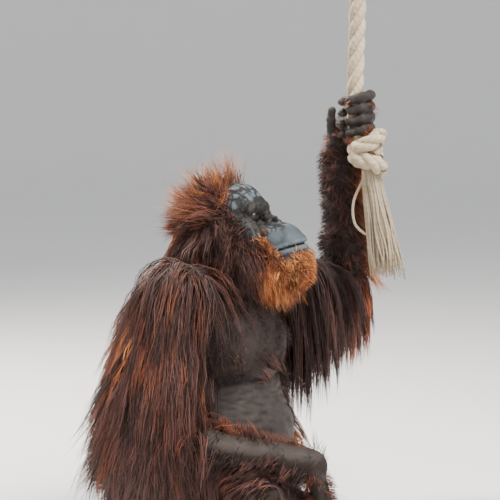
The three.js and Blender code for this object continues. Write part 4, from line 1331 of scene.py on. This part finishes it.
class ORANGUTAN_OT_head_coat(bpy.types.Operator):
    """Grow the coat of the crown, nape, cheeks and beard"""

    bl_idname = "orangutan.make_head_coat"
    bl_label = "Head coat"

    def execute(self, context):
        self.crown()
        self.cheeks()
        self.beard()
        self.neck()
        return {"FINISHED"}

    def hair(self, s):
        return is_part(s, "head") * s.density

    def crown(self):
        def crown_comb(s):
            apart = head_way(0, 1, 0) * np.sign(s.h[:, 1:2]) * 0.25
            forward = head_way(1.3, 0, -0.25) * step(s.h[:, 0], 0, 36)[:, None]
            return head_way(-0.75, 0, 0.5) + apart + forward

        grow(
            "coat_crown",
            21,
            lambda s: self.hair(s) * step(s.h[:, 2], 0, 30),
            crown_comb,
            lambda s: 70 - 34 * step(s.h[:, 0], 0, 36),
            lambda s: 0.42 + 0.22 * ripple(s.p, 30, 51) + 0.12 * step(s.h[:, 0], 10, -50),
            lift=15, sag=0.04, stand=0.3, wild=0.42, width=1.3, spread=10,
            clump=0.5, wave=6, count=4200,
        )
        grow(
            "coat_wisps",
            27,
            lambda s: self.hair(s) * step(s.h[:, 2], 20, 50) * step(s.h[:, 0], 70, 40),
            lambda s: head_way(-0.35, 0, 1) + head_way(1.7, 0, 0) * step(s.h[:, 0], -10, 25)[:, None],
            92,
            0.72,
            steps=5, lift=14, sag=0.02, stand=0.6, wild=0.5, width=0.9, spread=6,
            clump=0.35, wave=8, family=5, count=900,
        )

    def cheeks(self):
        def cheek_comb(s):
            front = head_way(0.25, 0, -0.9) * step(s.h[:, 0], -30, 10)[:, None]
            return front + head_way(-0.5, 0, -0.8) * step(s.h[:, 0], 10, -30)[:, None]

        inward = lambda s: bare_edge(s.h[:, 2]) - s.h[:, 0]
        grow(
            "coat_cheeks",
            22,
            lambda s: self.hair(s) * step(s.h[:, 2], 34, 14) * step(s.h[:, 2], -112, -90),
            cheek_comb,
            lambda s: 24 + 74 * step(inward(s), 5, 45),
            lambda s: 0.27 + 0.16 * ripple(s.p, 30, 52),
            lift=11, sag=0.12, stand=0.15, wild=0.26, width=1.5, spread=8,
            clump=0.5, wave=4, count=4600,
        )

    def beard(self):
        def beard_rust(s):
            front = step(s.h[:, 0], 62, 100) * step(s.h[:, 2], -165, -125)
            return 0.70 + 0.2 * front + 0.1 * ripple(s.p, 24, 53)

        def mouth_side(s):
            x, y, z = s.h.T
            beside = step(z, -42, -56) * step(np.abs(y), 34, 44)
            return is_part(s, "head") * beside * step(x, 98, 82) * step(x, 50, 60)

        grow(
            "coat_beard",
            23,
            lambda s: self.hair(s) * step(s.h[:, 2], -100, -120),
            head_way(0.1, 0, -0.9) + vec(0, 0, -0.35),
            lambda s: 17 + 48 * step(s.h[:, 0], 88, 40) + 8 * ripple(s.p, 22, 55),
            beard_rust,
            lift=4, sag=0.14, stand=0.3, wild=0.3, width=1.2, spread=9,
            clump=0.55, wave=4, family=14, count=4600,
        )
        grow(
            "coat_moustache",
            24,
            mouth_side,
            head_way(-0.5, 0, -0.8),
            17,
            0.74,
            steps=3, lift=3, sag=0.05, stand=0.35, wild=0.25, width=1.1, spread=5,
            clump=0.3, wave=1.5, count=2000,
        )

    def neck(self):
        def nape(s):
            turned_back = step(s.n[:, 0], 0.5, 0.0) * step(s.p @ VIEW_ALONG, 10, -25)
            low_head = self.hair(s) * step(s.h[:, 0], -20, -50) * 0.7
            return is_part(s, "neck") * s.density * turned_back + low_head

        grow(
            "coat_nape",
            25,
            nape,
            vec(-0.6, 0, -0.7),
            125,
            lambda s: 0.46 + 0.14 * ripple(s.p, 50, 54),
            lift=18, sag=0.4, stand=0.12, wild=0.12, count=3200,
        )
        grow(
            "coat_throat",
            26,
            lambda s: is_part(s, "neck") * step(s.n[:, 0], 0.1, 0.5),
            vec(-0.05, 0, -1),
            60,
            0.18,
            lift=5, sag=0.2, width=1.8, spread=8, count=1400,
        )


# Eyes and nails
def eye_material():
    colours = bpy.context.scene.orangutan_colours

    def build(s):
        ring = s.attribute("Ring")[0]
        base = s.ramp(
            ring,
            (0.0, (0.002, 0.002, 0.002, 1)),
            (0.20, (0.003, 0.002, 0.002, 1)),
            (0.25, rgb(colours.iris)),
            (0.46, rgb(colours.iris)),
            (0.54, (0.012, 0.006, 0.004, 1)),
            (1.0, (0.05, 0.03, 0.022, 1)),
        )
        flecks = s.noise(900, 5.0)
        base = s.mix(s.math("MULTIPLY", flecks, 0.6), base, (0.004, 0.002, 0.001, 1))
        return {"Base Color": base}

    return material("eye_glass", build, Roughness=0.42, Coat_Weight=0.02, Coat_Roughness=0.05)


class ORANGUTAN_OT_eyes(bpy.types.Operator):
    """Model both eyes, with iris, pupil and the bulge of the cornea"""

    bl_idname = "orangutan.make_eyes"
    bl_label = "Eyes"

    def execute(self, context):
        for side, eye in EYES.items():
            deselect()
            centre = on_head(eye)
            bpy.ops.mesh.primitive_uv_sphere_add(
                segments=32, ring_count=24, radius=EYE_R * MM, location=Vector(centre * MM)
            )
            obj = bpy.context.object
            obj.name = obj.data.name = "eyeball_" + side
            settle_place(obj)
            gaze = unit(head_way(1, -0.1, 0.08))
            d = points_of(obj) - centre
            turn = np.arccos(np.clip(unit(d) @ gaze, -1, 1))
            bulge = 1 + 0.09 * step(turn, 0.55, 0.2)
            move_points(obj, centre + d * 0.985 * bulge[:, None])
            obj.data.shade_smooth()
            obj.data.materials.append(eye_material())
            colour_points(obj, "Ring", np.repeat((turn / np.pi * 1.6)[:, None], 3, 1))
            dressed(obj, "eye", "eye_" + side)
        return {"FINISHED"}


class ORANGUTAN_OT_nails(bpy.types.Operator):
    """Model a curved nail for each finger, thumb and toe"""

    bl_idname = "orangutan.make_nails"
    bl_label = "Nails"

    def execute(self, context):
        made = []
        for name, (points, radii) in LINES.items():
            if name.startswith("sole"):
                continue
            line = smooth_line(points, 12)
            tip, way = line[-1], unit(line[-1] - line[-2])
            bend = line[-1] - 2 * line[-5] + line[-9]
            out = unit(-(bend - way * (bend @ way)))
            side = np.cross(way, out)
            r = radii[-1]
            deselect()
            bpy.ops.mesh.primitive_uv_sphere_add(segments=14, ring_count=8, radius=1)
            nail = bpy.context.object
            turn = Matrix([*zip(Vector(way), Vector(side), Vector(out))]).to_4x4()
            where = Matrix.Translation(Vector((tip + out * r * 0.62 + way * r * 0.15) * MM))
            size = Matrix.Diagonal((r * 0.85 * MM, r * 0.72 * MM, r * 0.42 * MM, 1))
            nail.matrix_world = where @ turn @ size
            made.append(nail)
        nails = join(made, "nails")
        nails.data.shade_smooth()

        def build(s):
            base = s.mix(s.noise(300, 4.0), (0.018, 0.014, 0.012, 1), (0.05, 0.038, 0.03, 1))
            return {"Base Color": base, "Roughness": s.range(s.noise(500), 0, 1, 0.3, 0.5)}

        nails.data.materials.append(material("nail_horn", build, Specular_IOR_Level=0.5))
        dressed(nails, "skin")
        return {"FINISHED"}


# The rope
LAY_LENGTH = 30
ROPE_STRANDS = 3
YARNS = 150


def rope_material():
    colours = bpy.context.scene.orangutan_colours

    def build(s):
        where = s.node("ShaderNodeUVMap", uv_map="Lay").outputs[0]
        fibres = s.noise(1.0, 5.0, where, (60, 1.4, 1))
        lay = {"Vector": where, "Scale": 1.6, "Distortion": 1.5, "Detail": 2.0}
        yarns = s.node("ShaderNodeTexWave", lay, bands_direction="DIAGONAL").outputs[1]
        base = s.mix(fibres, rgb(colours.rope_wear_and_shade), rgb(colours.rope))
        # painted shade in the grooves between the yarns
        base = s.mix(s.math("MULTIPLY", s.range(yarns, 0.35, 0.0), 0.4), base, rgb(colours.rope_wear_and_shade))
        tall = s.math("ADD", s.math("MULTIPLY", yarns, 0.8), fibres)
        bump = s.node("ShaderNodeBump", {"Height": tall, "Strength": 0.6, "Distance": 0.0015})
        return {"Base Color": drift(s, base, 30, 0.6), "Normal": bump.outputs[0]}

    return material("manila", build, Roughness=0.9, Specular_IOR_Level=0.2, Sheen_Weight=0.1)


def sweep(line, radius, sides=10, closed=False):
    """Points and faces of a tube along a line, its UV places, and the two ways square to the line."""
    n = len(line)
    way = unit(np.roll(line, -1, 0) - np.roll(line, 1, 0)) if closed else unit(np.gradient(line, axis=0))
    u = np.empty_like(line)
    u[0] = unit(np.cross(way[0], vec(0.31, 0.2, 0.93)))
    for i in range(1, n):
        u[i] = unit(u[i - 1] - way[i] * (u[i - 1] @ way[i]))
    v = np.cross(way, u)
    a = np.arange(sides) * TURN / sides
    radius = np.broadcast_to(radius, (n,))
    ring = u[:, None] * np.cos(a)[None, :, None] + v[:, None] * np.sin(a)[None, :, None]
    points = (line[:, None] + ring * radius[:, None, None]).reshape(-1, 3)
    rows = n if closed else n - 1
    i, s = np.meshgrid(np.arange(rows), np.arange(sides), indexing="ij")
    j, s2 = (i + 1) % n, (s + 1) % sides
    faces = np.stack([i * sides + s, i * sides + s2, j * sides + s2, j * sides + s], -1)
    faces = faces.reshape(-1, 4).tolist()
    run = np.concatenate([[0], np.cumsum(np.linalg.norm(np.diff(line, axis=0), axis=1))]) / LAY_LENGTH
    uv = np.stack(np.broadcast_arrays(np.arange(sides)[None] / sides, run[:, None]), -1).reshape(-1, 2)
    if not closed:
        tips = line[[0, -1]] + way[[0, -1]] * radius[[0, -1], None] * vec(-0.4, 0.4)[:, None]
        points = np.concatenate([points, tips])
        head, tail = n * sides, n * sides + 1
        faces += [(head, (k + 1) % sides, k) for k in range(sides)]
        end = (n - 1) * sides
        faces += [(tail, end + k, end + (k + 1) % sides) for k in range(sides)]
        uv = np.concatenate([uv, [[0.5, 0], [0.5, run[-1]]]])
    return points, faces, uv, u, v


def laid_rope(line, radius, turns, closed=False):
    """Strands twisted round a line, as tubes."""
    _, _, _, u, v = sweep(line, 1, 3, closed)
    t = np.arange(len(line)) / (len(line) - (not closed))
    pieces = []
    for k in range(ROPE_STRANDS):
        a = TURN * (k / ROPE_STRANDS + turns * t)
        middle = line + (u * np.cos(a)[:, None] + v * np.sin(a)[:, None]) * radius * 0.5
        pieces.append(sweep(middle, radius * 0.56, 10, closed)[:3])
    return pieces


def tubes_object(name, pieces):
    points, faces, uv, base = [], [], [], 0
    for p, f, w in pieces:
        points.append(p)
        faces += [tuple(i + base for i in face) for face in f]
        uv.append(w)
        base += len(p)
    obj = mesh_object(name, np.concatenate(points), faces, rope_material())
    uv_points(obj, "Lay", np.concatenate(uv))
    return obj


class ORANGUTAN_OT_rope(bpy.types.Operator):
    """Model the laid rope that the left hand grips"""

    bl_idname = "orangutan.make_rope"
    bl_label = "Rope"

    def execute(self, context):
        in_knot = ROPE_KNOT + vec(-6, 0, 4)
        line = smooth_line([ROPE_TOP, (ROPE_TOP + ROPE_GRIP) / 2, ROPE_GRIP, ROPE_LOW, in_knot], 120)
        rope = tubes_object("rope_laid", laid_rope(line, ROPE_R, 4.6))
        dressed(rope, "rope", "rope")
        return {"FINISHED"}


class ORANGUTAN_OT_knot(bpy.types.Operator):
    """Model the knot at the end of the rope, turn over turn"""

    bl_idname = "orangutan.make_knot"
    bl_label = "Knot"

    def execute(self, context):
        pieces = []
        turns = ((16, -24, (0, 0, 20), 30), (-20, 18, (2, 0, -24), 30), (64, 10, (0, 0, -3), 20))
        for tilt, roll, at, radius in turns:
            a = np.linspace(0, TURN, 48, endpoint=False)
            ring = np.stack([np.cos(a), np.sin(a), 0 * a], 1) * radius
            about_x = np.array(Matrix.Rotation(np.radians(tilt), 3, "X"))
            about_y = np.array(Matrix.Rotation(np.radians(roll), 3, "Y"))
            ring = ring @ about_x.T @ about_y.T + ROPE_KNOT + vec(*at)
            pieces += laid_rope(ring, ROPE_R * 0.95, 2, True)
        knot = tubes_object("knot_turns", pieces)
        dressed(knot, "rope", "rope_knot")
        return {"FINISHED"}


class ORANGUTAN_OT_tassel(bpy.types.Operator):
    """Model the unlaid end of the rope as yarns that hang from the knot"""

    bl_idname = "orangutan.make_tassel"
    bl_label = "Tassel"

    def execute(self, context):
        rng = np.random.default_rng(8)
        top, end = ROPE_KNOT + vec(4, 3, -30), ROPE_END
        pieces = []
        for _ in range(YARNS):
            a, r = rng.uniform(0, 6.28), rng.uniform(0.1, 1) ** 0.6
            out = (VIEW_ALONG * np.cos(a) + VIEW_ACROSS * np.sin(a)) * r
            t = np.linspace(0, rng.uniform(0.86, 1.06), 12)
            spread = np.interp(t, [0, 0.15, 0.6, 1], [15, 22, 31, 40])
            line = top + (end - top) * t[:, None] + out * spread[:, None]
            curl = np.sin(t * rng.uniform(6, 14) + rng.uniform(0, 6)) * t
            line = line + curl[:, None] * out[[1, 0, 2]] * vec(6, -6, 0)
            pieces.append(sweep(line, np.interp(t, [0, 0.8, 1], [2.5, 2.1, 0.8]), 5)[:3])
        bends = ((0, 0, 0), (-12, -8, -30), (-30, -18, -80), (-26, -16, -128), (2, 0, -150), (12, 6, -110))
        loose_yarn = smooth_line([top + vec(*bend) for bend in bends], 40)
        pieces.append(sweep(loose_yarn, 3.0, 7)[:3])
        tassel = tubes_object("tassel_yarns", pieces)
        dressed(tassel, "rope", "rope_tassel")
        return {"FINISHED"}


# The stage
MIDDLE = (0.08, 0.05, 0.5)
AIM = Vector((0.082, 0.047, 0.569))
FROM_AIM = Vector((2.490, -4.314, 0.436))
FLOOR_SIDES = 96
FLOOR_PROFILE = ((0, 0), (5000, 0), (10000, 0), (12000, 400), (13400, 2000), (14000, 6000))


def area_light(name, at, size, power, colour=(1, 1, 1)):
    light = bpy.data.lights.new(name, "AREA")
    light.shape = "DISK"
    light.size = size
    light.energy = power
    light.color = colour
    obj = bpy.data.objects.new(name, light)
    obj.location = at
    obj.rotation_euler = (Vector(MIDDLE) - Vector(at)).to_track_quat("-Z", "Y").to_euler()
    bpy.context.collection.objects.link(obj)


class ORANGUTAN_OT_stage(bpy.types.Operator):
    """Set out the floor, the lights and the camera at the photograph's angle"""

    bl_idname = "orangutan.make_stage"
    bl_label = "Stage"

    def execute(self, context):
        sizes = context.scene.orangutan_stage
        deselect()
        # a round floor that turns up into its wall
        radius, _, height = smooth_line([vec(r, 0, z) for r, z in FLOOR_PROFILE], 40)[1:].T
        a = np.arange(FLOOR_SIDES) * TURN / FLOOR_SIDES
        height = np.maximum(height, 0)[:, None] + 0 * a
        rings = np.stack([radius[:, None] * np.cos(a), radius[:, None] * np.sin(a), height], -1)
        i, k = np.meshgrid(np.arange(len(rings) - 1) * FLOOR_SIDES, np.arange(FLOOR_SIDES), indexing="ij")
        j, k2 = i + FLOOR_SIDES, (k + 1) % FLOOR_SIDES
        faces = np.stack([i + k, j + k, j + k2, i + k2], -1).reshape(-1, 4).tolist()
        faces.append(list(range(FLOOR_SIDES)))

        def build(s):
            return {"Base Color": s.mix(s.noise(3, 3.0), (0.87, 0.87, 0.87, 1), (0.9, 0.9, 0.9, 1))}

        paint = material("floor_paint", build, Roughness=0.8)
        floor = mesh_object("floor", rings.reshape(-1, 3), faces, paint)
        world = bpy.data.worlds.new("studio")
        world.use_nodes = True
        world.node_tree.nodes["Background"].inputs[0].default_value = (0.80, 0.81, 0.82, 1)
        world.node_tree.nodes["Background"].inputs[1].default_value = sizes.sky
        context.scene.world = world
        area_light("key", (1.6, -0.2, 3.1), 1.6, sizes.key, (1, 0.97, 0.93))
        area_light("rim", (-2.4, 0.6, 2.6), 1.4, sizes.rim, (1, 0.93, 0.84))
        area_light("fill", (0.6, -4.2, 1.4), 2.4, sizes.fill)
        camera = bpy.data.cameras.new("camera")
        camera.lens, camera.sensor_width = 171.4, 36
        camera.clip_end = 60
        obj = bpy.data.objects.new("camera", camera)
        obj.location = AIM + FROM_AIM
        obj.rotation_euler = (AIM - obj.location).to_track_quat("-Z", "Y").to_euler()
        context.collection.objects.link(obj)
        context.scene.camera = obj
        return {"FINISHED"}


class OrangutanSizes(bpy.types.PropertyGroup):
    """Sizes of the skin"""

    skin_voxel: FloatProperty(
        name="Skin voxel", description="Grain of the skin's surface", default=0.0065, unit="LENGTH"
    )
    face_cuts: IntProperty(name="Face cuts", description="How often the face's surface is divided", default=2)


def power(name, description, watts):
    return FloatProperty(name=name, description=description, default=watts, unit="POWER")


class OrangutanStage(bpy.types.PropertyGroup):
    """Floor and lights"""

    sky: FloatProperty(name="Sky", description="Strength of the light from all round", default=0.8)
    key: power("Key light", "Power of the light from above", 210.0)
    rim: power("Rim light", "Power of the light from behind", 240.0)
    fill: power("Fill light", "Power of the light from the front", 28.0)


def tint(name, description, *colour):
    return FloatVectorProperty(
        name=name, description=description, default=colour, size=3, subtype="COLOR", min=0, max=1
    )


class OrangutanColours(bpy.types.PropertyGroup):
    """Colours of coat, skin, eyes and rope"""

    deep: tint("Deep brown", "Darkest hair", 0.022, 0.013, 0.011)
    brown: tint("Brown", "Hair of the arms and belly", 0.074, 0.027, 0.020)
    russet: tint("Russet", "Hair of the back and crown", 0.24, 0.066, 0.030)
    # Orange: the beard's own colour, and painted glow on lit fringes
    orange: tint("Orange", "Beard and the lit fringe", 0.70, 0.24, 0.06)
    gold: tint("Gold", "Palest hair of the beard", 0.80, 0.37, 0.13)
    rose: tint("Rose grey", "Faded hair", 0.165, 0.088, 0.078)
    hide: tint("Hide", "Bare skin", 0.02, 0.0135, 0.0105)
    dry_hide: tint("Dry hide", "Worn, dry skin", 0.085, 0.06, 0.047)
    face: tint("Face", "Skin of the muzzle and brow", 0.036, 0.048, 0.057)
    # The next two are painted light: highlights on the face's raised folds, and shade in the depths of the
    # folds
    face_ridge_highlight: tint("Face ridges", "Raised folds of the face", 0.17, 0.215, 0.245)
    crease_shade: tint("Creases", "Depths of the folds", 0.010, 0.009, 0.009)
    under_coat: tint("Under coat", "Skin below the long hair", 0.024, 0.0135, 0.01)
    iris: tint("Iris", "Brown of the eyes", 0.035, 0.014, 0.007)
    rope: tint("Rope", "Clean fibres", 0.70, 0.59, 0.43)
    # Rope shadow: worn fibres, and painted shade between the yarns
    rope_wear_and_shade: tint("Rope shadow", "Worn fibres", 0.34, 0.25, 0.15)


class ORANGUTAN_PT_panel(bpy.types.Panel):
    """The model's pieces, in the order that they are made"""

    bl_label = "Orangutan"
    bl_idname = "ORANGUTAN_PT_panel"
    bl_space_type = "VIEW_3D"
    bl_region_type = "UI"
    bl_category = "Orangutan"

    def draw(self, context):
        for piece in PIECES:
            self.layout.operator(piece.bl_idname)
        for group in GROUPS:
            for name in getattr(context.scene, group).bl_rna.properties.keys()[2:]:
                self.layout.prop(getattr(context.scene, group), name)


PIECES = (
    ORANGUTAN_OT_stage,
    ORANGUTAN_OT_rope,
    ORANGUTAN_OT_knot,
    ORANGUTAN_OT_tassel,
    ORANGUTAN_OT_skin,
    ORANGUTAN_OT_eyes,
    ORANGUTAN_OT_nails,
    ORANGUTAN_OT_body_coat,
    ORANGUTAN_OT_head_coat,
)
GROUPS = {
    "orangutan_sizes": OrangutanSizes,
    "orangutan_stage": OrangutanStage,
    "orangutan_colours": OrangutanColours,
}


def register():
    for group in (*GROUPS.values(), *PIECES, ORANGUTAN_PT_panel):
        bpy.utils.register_class(group)
    for name, group in GROUPS.items():
        setattr(bpy.types.Scene, name, PointerProperty(type=group))


def unregister():
    for name in GROUPS:
        delattr(bpy.types.Scene, name)
    for group in (ORANGUTAN_PT_panel, *reversed(PIECES), *reversed(GROUPS.values())):
        bpy.utils.unregister_class(group)


def main():
    register()
    for piece in PIECES:
        group, name = piece.bl_idname.split(".")
        if getattr(getattr(bpy.ops, group), name)() != {"FINISHED"}:
            raise RuntimeError(piece.bl_label + " didn't finish")
    deselect()
    bpy.context.view_layer.update()


if __name__ == "__main__":
    main()
